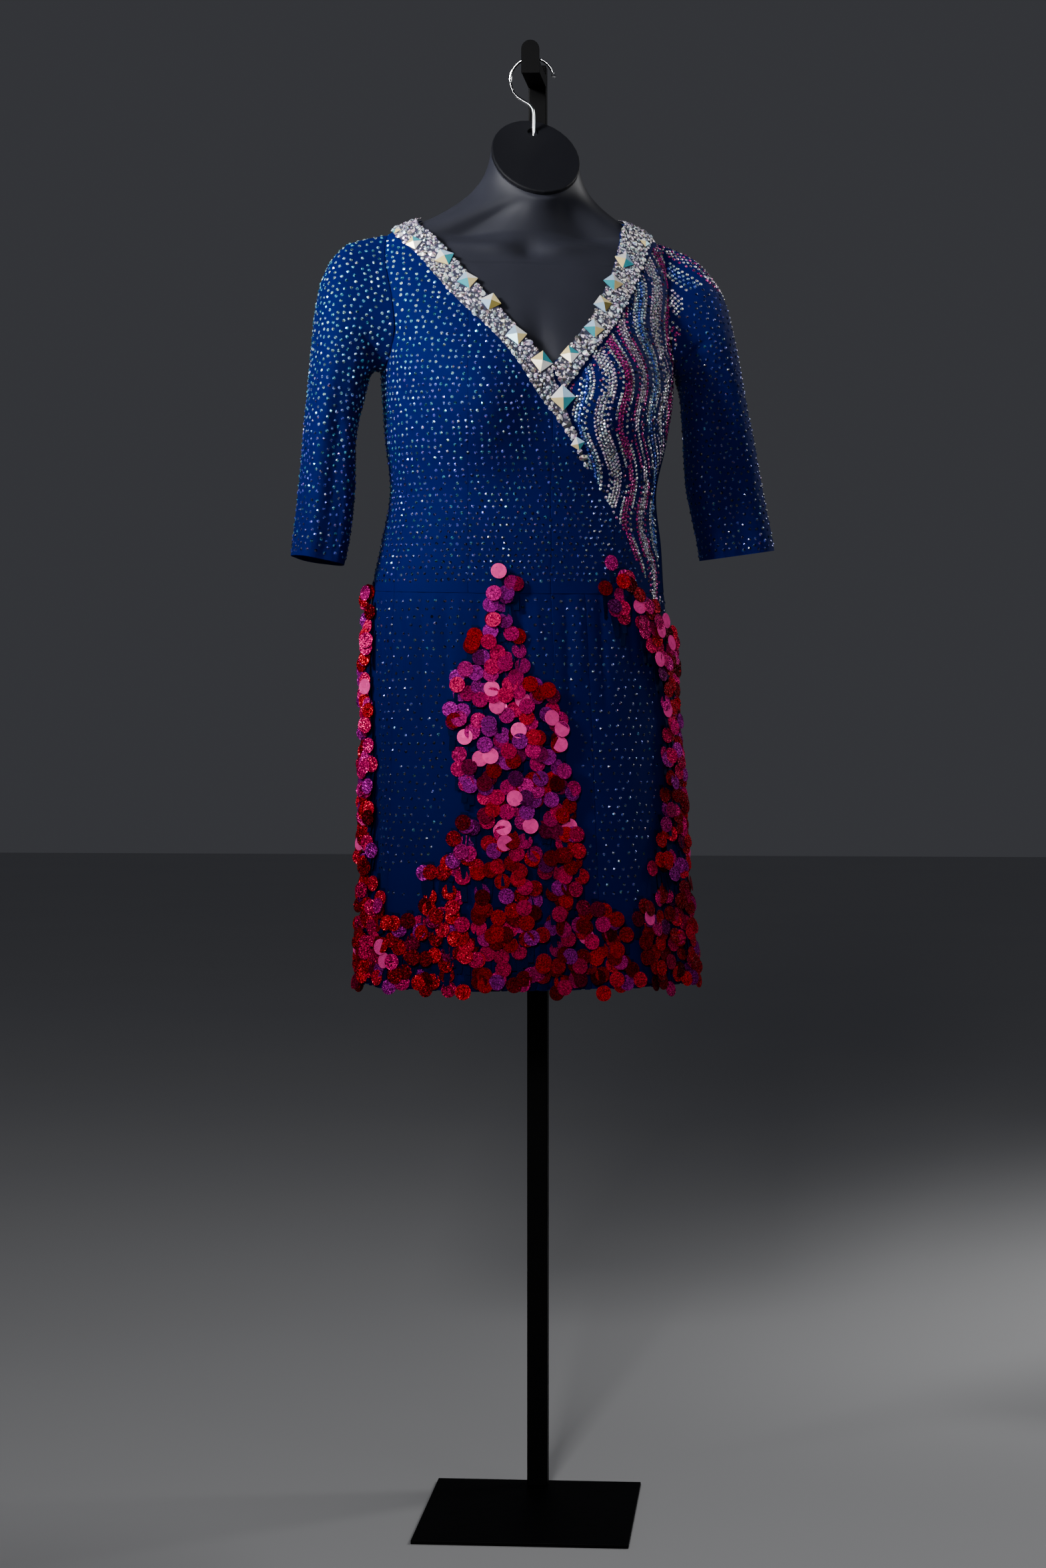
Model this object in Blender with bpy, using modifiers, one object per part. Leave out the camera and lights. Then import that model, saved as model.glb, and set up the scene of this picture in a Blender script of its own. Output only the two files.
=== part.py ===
"""Salsa dance dress on a hanging dress form with its hook and post stand.

Metres, +Z up, front towards -Y. The origin is the centre of the base plate's underside.
The form and the dress hang turned a little about the hook (FORM_TURN). Their shapes are
worked out in the form's own frame, whose Z axis is the axis of the hook.

Cloth is a wall between two grids of points that are worked out from functions.
A place on the body is (turn, height): turn 0 is the wearer's left side (+X), 90 the centre
front (-Y), 180 the wearer's right side (-X) and 270 the centre back (+Y).
"""

import math

import bmesh
import bpy
import numpy as np
from mathutils import Matrix, Vector

# ---- stand -------------------------------------------------------------------
PLATE_W, PLATE_D, PLATE_T = 0.254, 0.305, 0.0048
POST_Y = 0.130
POST_SIDE, POST_TOP = 0.0254, 1.300
TUBE_SIDE, TUBE_TOP = 0.0220, 1.7700
ARM_W, ARM_LOW, ARM_HIGH = 0.0220, 1.7420, 1.7560
ARM_FRONT = 0.0120
STOP_W, STOP_T, STOP_LOW, STOP_HIGH = 0.0220, 0.0030, 1.7410, 1.7810
WELD_GAP = 0.0003

# ---- hook --------------------------------------------------------------------
HOOK_X, HOOK_Y = 0.0028, 0.0220
WIRE_R, STEM_END = 0.0020, 1.6662
LOOP_X, LOOP_Z, LOOP_R = 0.0012, 1.7345, 0.0268
BALL_R = 0.0033

# ---- form --------------------------------------------------------------------
FORM_TURN = math.radians(17.0)
FORM_X, FORM_Y = 0.0022, 0.0000
FORM_CLEAR = 0.0040
FORM_BOTTOM = 0.860
FORM_SIDES = 28
CAP_T, CAP_GAP, CAP_HOLE_R = 0.0060, 0.0003, 0.0071
CAP_HOLE_X, CAP_HOLE_SLIDE = 0.0033, 0.0455

# ---- cloth -------------------------------------------------------------------
CLOTH_T = 0.0015
BAND_T, BAND_LIFT = 0.0022, 0.0011
BAND_COLS = 3
SEAM_GAP = 0.0003
HEM_Z = 0.648
SQUARE = 0.045  # fullness of a section at its corners, between front and side

# Sections of the dressed body: height, half width, depth to the front and to the back of
# the section's centre, and that centre.
BODY = (
    ("z", "half", "front", "back", "cx", "cy"),
    (0.600, 0.2000, 0.1360, 0.1300, -0.0130, -0.0360),
    (0.648, 0.1980, 0.1350, 0.1290, -0.0130, -0.0360),
    (0.783, 0.1905, 0.1330, 0.1260, -0.0165, -0.0350),
    (0.942, 0.1830, 0.1290, 0.1260, -0.0195, -0.0330),
    (1.054, 0.1790, 0.1230, 0.1210, -0.0222, -0.0310),
    (1.112, 0.1755, 0.1160, 0.1110, -0.0225, -0.0300),
    (1.166, 0.1690, 0.1090, 0.1010, -0.0190, -0.0300),
    (1.229, 0.1605, 0.1040, 0.0930, -0.0164, -0.0300),
    (1.293, 0.1700, 0.1100, 0.0970, -0.0130, -0.0300),
    (1.357, 0.1760, 0.1130, 0.1060, -0.0111, -0.0290),
    (1.410, 0.1780, 0.1060, 0.1100, -0.0115, -0.0250),
    (1.450, 0.1820, 0.0920, 0.1050, -0.0125, -0.0200),
    (1.480, 0.1830, 0.0780, 0.0960, -0.0130, -0.0150),
    (1.500, 0.1810, 0.0680, 0.0880, -0.0130, -0.0110),
    (1.520, 0.1750, 0.0590, 0.0780, -0.0130, -0.0080),
    (1.535, 0.1660, 0.0530, 0.0690, -0.0130, -0.0060),
    (1.545, 0.1520, 0.0490, 0.0620, -0.0125, -0.0060),
    (1.553, 0.1340, 0.0460, 0.0570, -0.0110, -0.0060),
    (1.560, 0.1130, 0.0450, 0.0530, -0.0080, -0.0060),
    (1.568, 0.0930, 0.0460, 0.0510, -0.0040, -0.0060),
    (1.580, 0.0720, 0.0480, 0.0500, 0.0000, -0.0060),
)
BUST_Z, BUST_X, BUST_OUT = 1.332, 0.084, 0.024
BUST_WIDE, BUST_TALL = 0.056, 0.062

# Neck of the form: each ring is tipped about X, so that its back is the higher.
NECK = (
    ("z", "half", "long", "cx", "cy", "tip"),
    (1.5745, 0.0790, 0.0500, 0.0005, -0.0065, 5.0),
    (1.5880, 0.0645, 0.0535, 0.0015, -0.0080, 15.0),
    (1.6030, 0.0580, 0.0570, 0.0020, -0.0095, 28.0),
    (1.6190, 0.0545, 0.0620, 0.0025, -0.0085, 40.0),
    (1.6337, 0.0530, 0.0676, 0.0030, -0.0065, 47.0),
)

# Seams of the bodice, from the waist up: turn in degrees and height.
ARMHOLE_LOW, ARMHOLE_HIGH, ARMHOLE_SPREAD = 1.372, 1.537, 26.0
SIDE_TURNS = (
    ("z", "turn"),
    (1.060, 152.8),
    (1.112, 153.0),
    (1.230, 156.0),
    (1.310, 164.0),
    (1.372, 180.0),
)
FRONT_SEAM_R = (
    ("z", "turn"),
    (1.060, 117.0),
    (1.110, 117.2),
    (1.230, 121.2),
    (1.330, 122.2),
    (1.483, 115.8),
)
FRONT_SEAM_L = (
    ("z", "turn"),
    (1.060, 61.0),
    (1.110, 60.5),
    (1.230, 57.0),
    (1.330, 56.2),
    (1.496, 59.2),
)
CENTRE_FRONT = (("z", "turn"), (0.640, 85.5), (1.110, 85.5), (1.224, 86.3), (1.374, 89.8))
V_Z = 1.374
BACK_NECK_Z = 1.497

# Front neckline on each side: turn in degrees and height, from the point of the V up.
NECKLINE_R = (
    ("turn", "z"),
    (89.8, 1.3740),
    (98.8, 1.4080),
    (107.8, 1.4470),
    (115.8, 1.4830),
    (124.8, 1.5160),
    (134.0, 1.5360),
    (156.0, 1.5500),
    (180.0, 1.5560),
)
NECKLINE_L = (
    ("turn", "z"),
    (89.8, 1.3740),
    (85.2, 1.3830),
    (80.8, 1.3980),
    (76.5, 1.4140),
    (71.8, 1.4320),
    (65.5, 1.4640),
    (59.2, 1.4960),
    (52.8, 1.5270),
    (45.0, 1.5450),
    (24.0, 1.5560),
    (0.0, 1.5605),
)

# Jewelled band of the neckline, from the shoulder down: its outer edge, and its inner edge
# where it runs on below the point of the V.
BAND_R_OUT = (
    ("turn", "z"),
    (180.0, 1.5435),
    (155.0, 1.5320),
    (137.0, 1.5080),
    (128.6, 1.4800),
    (120.8, 1.4480),
    (112.6, 1.4190),
    (105.0, 1.3880),
    (100.2, 1.3660),
    (96.2, 1.3450),
    (86.0, 1.3090),
    (76.8, 1.2720),
    (71.5, 1.2530),
)
BAND_R_TAIL = (
    ("turn", "z"),
    (89.8, 1.3740),
    (87.6, 1.3520),
    (83.2, 1.3220),
    (78.2, 1.2900),
    (72.6, 1.2580),
)
BAND_L_OUT = (
    ("turn", "z"),
    (0.0, 1.5460),
    (20.0, 1.5380),
    (36.0, 1.5240),
    (49.0, 1.4830),
    (55.8, 1.4520),
    (64.5, 1.4170),
    (73.8, 1.3850),
    (79.5, 1.3620),
    (84.6, 1.3420),
)

# Sleeves: the highest or outer line and the lower or inner line of each ring, in the plane
# of X and Z, with half its depth and its centre from front to back. Ring 0 is the armhole.
SLEEVE_R = (
    ("out_x", "out_z", "in_x", "in_z", "deep", "cy"),
    (-0.2010, 1.5345, -0.1915, 1.3735, 0.0500, -0.0140),
    (-0.2240, 1.5255, -0.1955, 1.3725, 0.0540, -0.0135),
    (-0.2430, 1.5080, -0.1985, 1.3700, 0.0560, -0.0130),
    (-0.2570, 1.4800, -0.2010, 1.3650, 0.0570, -0.0130),
    (-0.2645, 1.4450, -0.2040, 1.3540, 0.0570, -0.0130),
    (-0.2690, 1.4050, -0.2085, 1.3360, 0.0560, -0.0130),
    (-0.2730, 1.3600, -0.2150, 1.3120, 0.0550, -0.0140),
    (-0.2785, 1.3100, -0.2195, 1.2800, 0.0530, -0.0150),
    (-0.2830, 1.2600, -0.2200, 1.2400, 0.0520, -0.0160),
    (-0.2880, 1.2120, -0.2235, 1.1980, 0.0510, -0.0170),
    (-0.2925, 1.1750, -0.2290, 1.1620, 0.0500, -0.0180),
    (-0.2950, 1.1540, -0.2335, 1.1420, 0.0500, -0.0180),
)
SLEEVE_L = (
    ("out_x", "out_z", "in_x", "in_z", "deep", "cy"),
    (0.1740, 1.5320, 0.1695, 1.3735, 0.0500, -0.0140),
    (0.1970, 1.5190, 0.1735, 1.3725, 0.0540, -0.0135),
    (0.2180, 1.4985, 0.1770, 1.3700, 0.0560, -0.0130),
    (0.2340, 1.4710, 0.1800, 1.3650, 0.0560, -0.0130),
    (0.2430, 1.4370, 0.1830, 1.3540, 0.0550, -0.0130),
    (0.2510, 1.4000, 0.1850, 1.3360, 0.0530, -0.0130),
    (0.2590, 1.3560, 0.1860, 1.3120, 0.0510, -0.0140),
    (0.2690, 1.3060, 0.1870, 1.2800, 0.0490, -0.0150),
    (0.2790, 1.2560, 0.1890, 1.2420, 0.0470, -0.0160),
    (0.2880, 1.2110, 0.1965, 1.2020, 0.0460, -0.0170),
    (0.2945, 1.1790, 0.2030, 1.1700, 0.0450, -0.0180),
    (0.2970, 1.1640, 0.2060, 1.1510, 0.0450, -0.0180),
)
# Folds along a sleeve: place round it, width, depth (out is positive), first and last ring.
SLEEVE_FOLDS = (
    ("round", "wide", "out", "first", "last"),
    (52.0, 24.0, 0.0040, 3, 12),
    (92.0, 22.0, -0.0060, 4, 12),
    (135.0, 24.0, 0.0035, 5, 12),
    (228.0, 22.0, -0.0050, 4, 12),
    (275.0, 26.0, 0.0040, 3, 12),
    (318.0, 20.0, -0.0040, 5, 12),
)
SLEEVE_SIDES = 20

# Grids
ROWS_SIDE, ROWS_ARM = 11, SLEEVE_SIDES // 2
ROWS = ROWS_SIDE + ROWS_ARM
ROWS_TO_NECK = 17
COLS_SIDE, COLS_MID, COLS_BACK = 7, 5, 9
SKIRT_ROWS = 9
# Skirt folds: turn, half width in degrees, depth at the hem (troughs are negative).
SKIRT_FOLDS = (
    ("turn", "wide", "out", "top"),
    (8.0, 7.5, -0.0060, 1.05),
    (27.0, 7.0, 0.0035, 1.00),
    (43.0, 7.5, -0.0055, 1.06),
    (58.0, 6.0, 0.0025, 0.95),
    (78.0, 7.0, -0.0045, 1.04),
    (104.0, 7.5, -0.0040, 1.06),
    (118.0, 6.5, 0.0030, 1.00),
    (137.0, 7.5, -0.0060, 1.08),
    (151.0, 6.5, 0.0035, 1.02),
    (166.0, 7.0, -0.0065, 1.07),
    (188.0, 7.0, -0.0040, 1.03),
    (205.0, 7.5, 0.0040, 1.00),
    (222.0, 8.0, -0.0055, 1.05),
    (246.0, 7.5, -0.0045, 1.06),
    (262.0, 7.0, 0.0035, 0.98),
    (283.0, 7.5, -0.0055, 1.05),
    (304.0, 7.5, 0.0035, 1.02),
    (322.0, 8.0, -0.0055, 1.07),
    (344.0, 7.0, 0.0035, 1.00),
)
SKIRT_STEP = 4.5  # degrees between two columns of the skirt

# Tapes of hanging strips with discs. Each is laid outside the skirt, from one turn to the
# other, with one strip for each step of the skirt.
STRIP_LIFT, TAPE_T, TAPE_H = 0.0005, 0.0014, 0.0070
STRIPS = (
    ("name", "first", "last", "z", "long"),
    ("centre_1", 98, 109, 1.100, 0.042),
    ("centre_2", 98, 118, 1.055, 0.042),
    ("centre_3", 89, 122, 1.010, 0.042),
    ("centre_4", 85, 127, 0.965, 0.042),
    ("centre_5", 76, 127, 0.920, 0.042),
    ("centre_6", 76, 127, 0.875, 0.042),
    ("centre_7", 76, 127, 0.830, 0.042),
    ("centre_8", 76, 145, 0.785, 0.042),
    ("side_right_1", 171, 185, 1.060, 0.044),
    ("side_right_2", 171, 185, 1.010, 0.044),
    ("side_right_3", 171, 185, 0.960, 0.044),
    ("side_right_4", 171, 185, 0.910, 0.044),
    ("side_right_5", 171, 185, 0.860, 0.044),
    ("side_right_6", 171, 185, 0.805, 0.044),
    ("side_left_1", 49, 63, 1.095, 0.044),
    ("side_left_2", 36, 54, 1.048, 0.044),
    ("side_left_3", 9, 41, 1.000, 0.044),
    ("side_left_4", 0, 36, 0.950, 0.044),
    ("side_left_5", 0, 27, 0.900, 0.044),
    ("side_left_6", 0, 27, 0.850, 0.044),
    ("side_left_7", 0, 32, 0.800, 0.044),
    ("hem_upper", 0, 185, 0.7360, 0.038),
    ("hem_lower", 0, 360, 0.6910, 0.039),
)

BLUE = (0.012, 0.030, 0.140, 1.0)
RED = (0.420, 0.006, 0.060, 1.0)
SILVER = (0.620, 0.600, 0.680, 1.0)
BLACK = (0.010, 0.010, 0.012, 1.0)
CHROME = (0.800, 0.800, 0.820, 1.0)


# ---- tables and scene helpers --------------------------------------------------
def column(table, name):
    """One named column of a table whose first row holds the names."""
    return np.array([row[table[0].index(name)] for row in table[1:]], float)


def smooth(keys, values, where):
    """Cubic through (keys, values), flattened at turning points, at the places given."""
    keys, values = np.asarray(keys, float), np.asarray(values, float)
    where = np.clip(where, keys[0], keys[-1])
    step = np.diff(keys)
    slope = np.diff(values) / step
    tangent = np.zeros(len(keys))
    tangent[0], tangent[-1] = slope[0], slope[-1]
    both = slope[:-1] * slope[1:] > 0
    weight = 2.0 * slope[:-1] * slope[1:] / np.where(both, slope[:-1] + slope[1:], 1.0)
    tangent[1:-1] = np.where(both, weight, 0.0)
    i = np.clip(np.searchsorted(keys, where, side="right") - 1, 0, len(step) - 1)
    u = (where - keys[i]) / step[i]
    return (
        (1 + 2 * u) * (1 - u) ** 2 * values[i]
        + u * (1 - u) ** 2 * step[i] * tangent[i]
        + u * u * (3 - 2 * u) * values[i + 1]
        - u * u * (1 - u) * step[i] * tangent[i + 1]
    )


def read(table, key, name, where):
    return smooth(column(table, key), column(table, name), where)


def clear_scene():
    for obj in list(bpy.data.objects):
        bpy.data.objects.remove(obj, do_unlink=True)
    for mesh in list(bpy.data.meshes):
        bpy.data.meshes.remove(mesh)


def collection(name):
    made = bpy.data.collections.new(name)
    bpy.context.scene.collection.children.link(made)
    return made


def material(name, colour, roughness, metallic=0.0):
    made = bpy.data.materials.new(name)
    made.use_nodes = True
    shader = made.node_tree.nodes["Principled BSDF"]
    shader.inputs["Base Color"].default_value = colour
    shader.inputs["Roughness"].default_value = roughness
    shader.inputs["Metallic"].default_value = metallic
    made.diffuse_color = colour
    return made


def add(name, mesh, group, look, parent=None):
    mesh.name = name
    mesh.materials.append(look)
    obj = bpy.data.objects.new(name, mesh)
    group.objects.link(obj)
    obj.parent = parent
    return obj


def box(name, size, centre, group, look, bevel=0.0):
    mesh = bpy.data.meshes.new(name)
    shape = bmesh.new()
    bmesh.ops.create_cube(shape, size=1.0, matrix=Matrix.Diagonal((*size, 1.0)))
    shape.to_mesh(mesh)
    shape.free()
    obj = add(name, mesh, group, look)
    obj.location = centre
    if bevel:
        soft = obj.modifiers.new("Bevel", "BEVEL")
        soft.width, soft.segments, soft.limit_method = bevel, 2, "ANGLE"
    return obj


# ---- the body as a function -----------------------------------------------------
def body(turn, z):
    """Points of the dressed body, in the form's frame, for arrays of turn (deg) and z."""
    turn, z = np.broadcast_arrays(np.asarray(turn, float), np.asarray(z, float))
    angle = np.radians(turn)
    half, front, back, cx, cy = (read(BODY, "z", name, z) for name in ("half", "front", "back", "cx", "cy"))
    full = 1.0 + SQUARE * np.sin(2 * angle) ** 2
    x = half * np.cos(angle) * full
    depth = np.where(np.sin(angle) > 0, front, back)
    y = -depth * np.sin(angle) * full
    tall = np.exp(-(((z - BUST_Z) / BUST_TALL) ** 2))
    lobes = np.exp(-(((x - BUST_X) / BUST_WIDE) ** 2)) + np.exp(-(((x + BUST_X) / BUST_WIDE) ** 2))
    y = y - BUST_OUT * tall * lobes * np.clip(np.sin(angle), 0, 1) ** 0.5
    return np.stack([cx + x, cy + y, z], axis=-1)


def skirt_out(turn, z):
    """How far the skirt's folds push it out at (turn, z)."""
    out = np.zeros(np.broadcast(turn, z).shape)
    for at, wide, depth, top in zip(*(column(SKIRT_FOLDS, n) for n in SKIRT_FOLDS[0])):
        away = (np.asarray(turn, float) - at + 180.0) % 360.0 - 180.0
        grow = np.clip((top - np.asarray(z, float)) / (top - HEM_Z), 0, 1) ** 0.8
        out = out + depth * grow * np.exp(-((away / wide) ** 2))
    return out


def outward(surface, turn, z):
    """Unit normal of a surface given as a function of (turn, z)."""
    du = surface(turn + 0.02, z) - surface(turn - 0.02, z)
    dz = surface(turn, z + 0.0005) - surface(turn, z - 0.0005)
    # Turn runs from +X through -Y, so this order points away from the body.
    normal = np.cross(dz, du)
    return normal / np.linalg.norm(normal, axis=-1, keepdims=True)


def raised(turn, z, lift):
    """Points of the body moved out by a lift, which may differ from point to point."""
    turn, z = np.broadcast_arrays(np.asarray(turn, float), np.asarray(z, float))
    return body(turn, z) + outward(body, turn, z) * np.broadcast_to(lift, turn.shape)[..., None]


def skirt(turn, z, lift=0.0):
    """Outer face of the skirt, moved out by a lift."""
    return raised(turn, z, skirt_out(turn, z) + lift)


def waist_z(turn):
    return 1.1125 - 0.0055 * np.sin(np.radians(turn))


def side_seam(mirror):
    """The lower side seam and the armhole's front or back arc, as (turn, z) rows."""

    def rows(front):
        low = waist_z(153.0 if not mirror else 27.0) + SEAM_GAP
        z = np.linspace(low, ARMHOLE_LOW, ROWS_SIDE + 1)
        turn = read(SIDE_TURNS, "z", "turn", z)
        arc = np.pi * (1 - np.arange(1, ROWS_ARM + 1) / ROWS_ARM)
        mid, tall = (ARMHOLE_HIGH + ARMHOLE_LOW) / 2, (ARMHOLE_HIGH - ARMHOLE_LOW) / 2
        arc_turn = 180.0 - ARMHOLE_SPREAD * np.sin(arc) * (1 if front else -1)
        rows_turn = np.concatenate([turn, arc_turn])
        rows_z = np.concatenate([z, mid + tall * np.cos(arc)])
        return (180.0 - rows_turn if mirror else rows_turn), rows_z

    return rows


def along(table, count, end=None):
    """Points (turn, z) at even spacing along a table's line."""
    turn, z = column(table, "turn"), column(table, "z")
    length = np.concatenate([[0], np.cumsum(np.hypot(np.diff(turn) * 0.0028, np.diff(z)))])
    at = np.linspace(0, length[-1] if end is None else end, count)
    return smooth(length, turn, at), smooth(length, z, at)


def cut_line(table, top, count):
    """The part of a seam table from the waist up to the height top, as (turn, z)."""
    turn0 = read(table, "z", "turn", np.array([1.11]))[0]
    z = np.linspace(float(waist_z(turn0)) + SEAM_GAP, top, count)
    return read(table, "z", "turn", z), z


def table_part(table, from_row, count):
    """Even points along a neckline table from one of its rows to its end."""
    names = table[0]
    return along((names, *table[1 + from_row :]), count)


def seam_gaps(turn, z, surface, lift, top=False):
    """Points of a panel, with half a seam's gap taken off its two sides and any top seam."""
    points = surface(turn, z, lift)
    for edge, inner in ((0, 1), (-1, -2)):
        step = points[:, inner] - points[:, edge]
        points[:, edge] += 0.5 * SEAM_GAP * step / np.linalg.norm(step, axis=-1, keepdims=True)
    if top:
        step = points[-2] - points[-1]
        points[-1] += 0.5 * SEAM_GAP * step / np.linalg.norm(step, axis=-1, keepdims=True)
    return points


def sheet(name, left, right, cols, surface, lift, thick, place, bend=None, top=False, foot=False):
    """A panel between two edges given as (turn, z) rows, as a wall on a lifted surface."""
    share = np.linspace(0, 1, cols + 1)
    turn = left[0][:, None] * (1 - share) + right[0][:, None] * share
    z = left[1][:, None] * (1 - share) + right[1][:, None] * share
    if bend is not None:
        up = np.linspace(0, 1, len(left[0]))[:, None] ** 2
        turn = turn + (bend[0] - turn[-1]) * up
        z = z + (bend[1] - z[-1]) * up
    if foot:
        down = np.linspace(1, 0, len(left[0]))[:, None] ** 3
        z = z + (waist_z(turn[0]) + 0.5 * SEAM_GAP - z[0]) * down
    outer = seam_gaps(turn, z, surface, lift, top)
    inner = seam_gaps(turn, z, surface, lift - thick, top)
    return wall(name, outer, inner, place)


def wall(name, outer, inner, place, closed=False):
    """A closed wall from a grid of outer points and a grid of inner points."""
    cols, rows = outer.shape[1], outer.shape[0]
    mesh = bpy.data.meshes.new(name)
    shape = bmesh.new()
    made = bmesh.ops.create_grid(shape, x_segments=cols - 1, y_segments=rows - 1, size=0.5)["verts"]
    for k, vert in enumerate(made):
        vert.co = Vector(outer[k // cols, k % cols])
    if closed:
        bmesh.ops.remove_doubles(shape, verts=shape.verts, dist=1e-6)
    grown = bmesh.ops.extrude_face_region(shape, geom=shape.faces[:], use_keep_orig=True)["geom"]
    inside = {}
    for k in range(rows * cols):
        inside[tuple(Vector(outer[k // cols, k % cols]))] = inner[k // cols, k % cols]
    for vert in [part for part in grown if isinstance(part, bmesh.types.BMVert)]:
        vert.co = Vector(inside[tuple(vert.co)])
    bmesh.ops.recalc_face_normals(shape, faces=shape.faces)
    shape.to_mesh(mesh)
    shape.free()
    mesh.shade_smooth()
    mesh.set_sharp_from_angle(angle=math.radians(60))
    return add(name, mesh, *place)


# ---- bodice -------------------------------------------------------------------
def bodice(group, look, parent):
    """Six cut panels: a side front and a centre front on each side, and two backs."""
    centre = cut_line(CENTRE_FRONT, V_Z, ROWS_TO_NECK + 1)
    for right in (True, False):
        seam_table = FRONT_SEAM_R if right else FRONT_SEAM_L
        neck = NECKLINE_R if right else NECKLINE_L
        meet = 3 if right else 6
        seam = cut_line(seam_table, neck[1 + meet][1], ROWS_TO_NECK + 1)
        upper = table_part(neck, meet, ROWS - ROWS_TO_NECK + 1)
        side = side_seam(not right)
        inner = tuple(np.concatenate([a, b[1:]]) for a, b in zip(seam, upper))
        word = "right" if right else "left"
        cut = (raised, 0, CLOTH_T, (group, look, parent))
        sheet(f"bodice_side_front_{word}", side(True), inner, COLS_SIDE, *cut, top=True, foot=True)
        # The top row of the centre panel follows the neckline from the seam to the V.
        top = tuple(line[::-1] for line in along((neck[0], *neck[1 : 2 + meet]), COLS_MID + 1))
        sheet(f"bodice_centre_front_{word}", seam, centre, COLS_MID, *cut, bend=top, foot=True)
        back = back_edges(side(False), right)
        sheet(f"bodice_back_{word}", *back, COLS_BACK, *cut, top=True, foot=True)


def back_edges(side_rows, right):
    """The side edge and the centre edge of a back, the centre one with its neckline."""
    z = np.linspace(float(waist_z(270.0)) + SEAM_GAP, BACK_NECK_Z, ROWS_TO_NECK + 1)
    end_turn = 180.0 if right else 360.0
    top_z = NECKLINE_R[-1][1] if right else NECKLINE_L[-1][1]
    share = np.linspace(0, 1, ROWS - ROWS_TO_NECK + 1)[1:]
    curve_turn = 270.0 + (end_turn - 270.0) * share**0.85
    curve_z = BACK_NECK_Z + (top_z - BACK_NECK_Z) * np.sin(share * np.pi / 2) ** 1.3
    centre = (np.concatenate([np.full(len(z), 270.0), curve_turn]), np.concatenate([z, curve_z]))
    turn = side_rows[0] if right else side_rows[0] % 360.0
    turn = np.where(turn < 90.0, turn + 360.0, turn)
    return (turn, side_rows[1]), centre


# ---- neckline band --------------------------------------------------------------
def bands(group, look, parent):
    """The jewelled band: points of the front panels, moved out."""
    lift = BAND_LIFT + BAND_T
    rest = (raised, lift, BAND_T, (group, look, parent))
    down = tuple(line[::-1] for line in along(NECKLINE_R, 19))
    tail = along(BAND_R_TAIL, 9)
    inner = tuple(np.concatenate([a, b[1:]]) for a, b in zip(down, tail))
    sheet("neck_band_right", inner, along(BAND_R_OUT, 27), BAND_COLS, *rest)
    turn, z = tuple(line[::-1] for line in along(NECKLINE_L, 19))
    # The left band stops short of the right one at the point of the V.
    turn = turn - 1.0 * (z < 1.40) * (1.40 - z) / 0.028
    sheet("neck_band_left", (turn, z), along(BAND_L_OUT, 19), BAND_COLS, *rest)


# ---- sleeves --------------------------------------------------------------------
def armhole_ring(side_turn, spread_sign):
    """The armhole, from its top round by the front, as points of the body."""
    arc = 2 * np.pi * np.arange(SLEEVE_SIDES) / SLEEVE_SIDES
    mid, tall = (ARMHOLE_HIGH + ARMHOLE_LOW) / 2, (ARMHOLE_HIGH - ARMHOLE_LOW) / 2
    turn = side_turn + spread_sign * ARMHOLE_SPREAD * np.sin(arc)
    return body(turn, mid + tall * np.cos(arc))


def fold_out(arc_deg, ring):
    out = np.zeros(len(arc_deg))
    for at, wide, depth, first, last in zip(*(column(SLEEVE_FOLDS, n) for n in SLEEVE_FOLDS[0])):
        if first <= ring <= last:
            away = (arc_deg - at + 180.0) % 360.0 - 180.0
            out += depth * min(1.0, (ring - first + 1) / 4) * np.exp(-((away / wide) ** 2))
    return out


def sleeve(name, table, side_turn, spread_sign, out_sign, group, look, parent):
    arc = 2 * np.pi * np.arange(SLEEVE_SIDES) / SLEEVE_SIDES
    hole = armhole_ring(side_turn, spread_sign)
    rings = [hole + np.array([out_sign * 1.6 * SEAM_GAP, 0, 0])]
    top, low = hole[0], hole[SLEEVE_SIDES // 2]
    middle = (top + low) / 2
    up = (top - middle) / np.linalg.norm(top - middle)
    tall = np.linalg.norm(top - middle)
    local_u = (hole - middle) @ up / tall
    local_v = -(hole[:, 1] - middle[1])
    sag = (hole - middle) - np.outer((hole - middle) @ up, up)
    sag[:, 1] = 0
    for k, row in enumerate(table[1:], 1):
        out_x, out_z, in_x, in_z, deep, cy = row
        outer, inner = np.array([out_x, 0, out_z]), np.array([in_x, 0, in_z])
        mid = (outer + inner) / 2
        reach = (outer - inner) / 2
        blend = min(1.0, k / 4)
        u = (1 - blend) * local_u + blend * np.cos(arc)
        v = (1 - blend) * local_v + blend * deep * np.sin(arc)
        ring = mid + u[:, None] * reach
        ring[:, 1] = (1 - blend) * middle[1] + blend * cy - v
        ring += (1 - blend) * sag
        away = ring - np.array([mid[0], (1 - blend) * middle[1] + blend * cy, mid[2]])
        away /= np.linalg.norm(away, axis=1, keepdims=True)
        ring += away * fold_out(np.degrees(arc), k)[:, None]
        rings.append(ring)
    points = np.array(rings)
    along_rings = np.gradient(points, axis=0)
    round_ring = np.roll(points, -1, axis=1) - np.roll(points, 1, axis=1)
    normal = np.cross(round_ring, along_rings)
    normal /= np.linalg.norm(normal, axis=-1, keepdims=True)
    away = points - points.mean(axis=1, keepdims=True)
    normal *= np.sign((normal * away).sum(axis=-1).mean())
    inner = points - normal * CLOTH_T
    points, inner = (np.concatenate([p, p[:, :1]], axis=1) for p in (points, inner))
    return wall(name, points, inner, (group, look, parent), closed=True)


# ---- skirt ----------------------------------------------------------------------
def skirt_turns(first, last):
    count = max(2, int(round((last - first) / SKIRT_STEP)))
    return np.linspace(first, last, count + 1)


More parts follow.
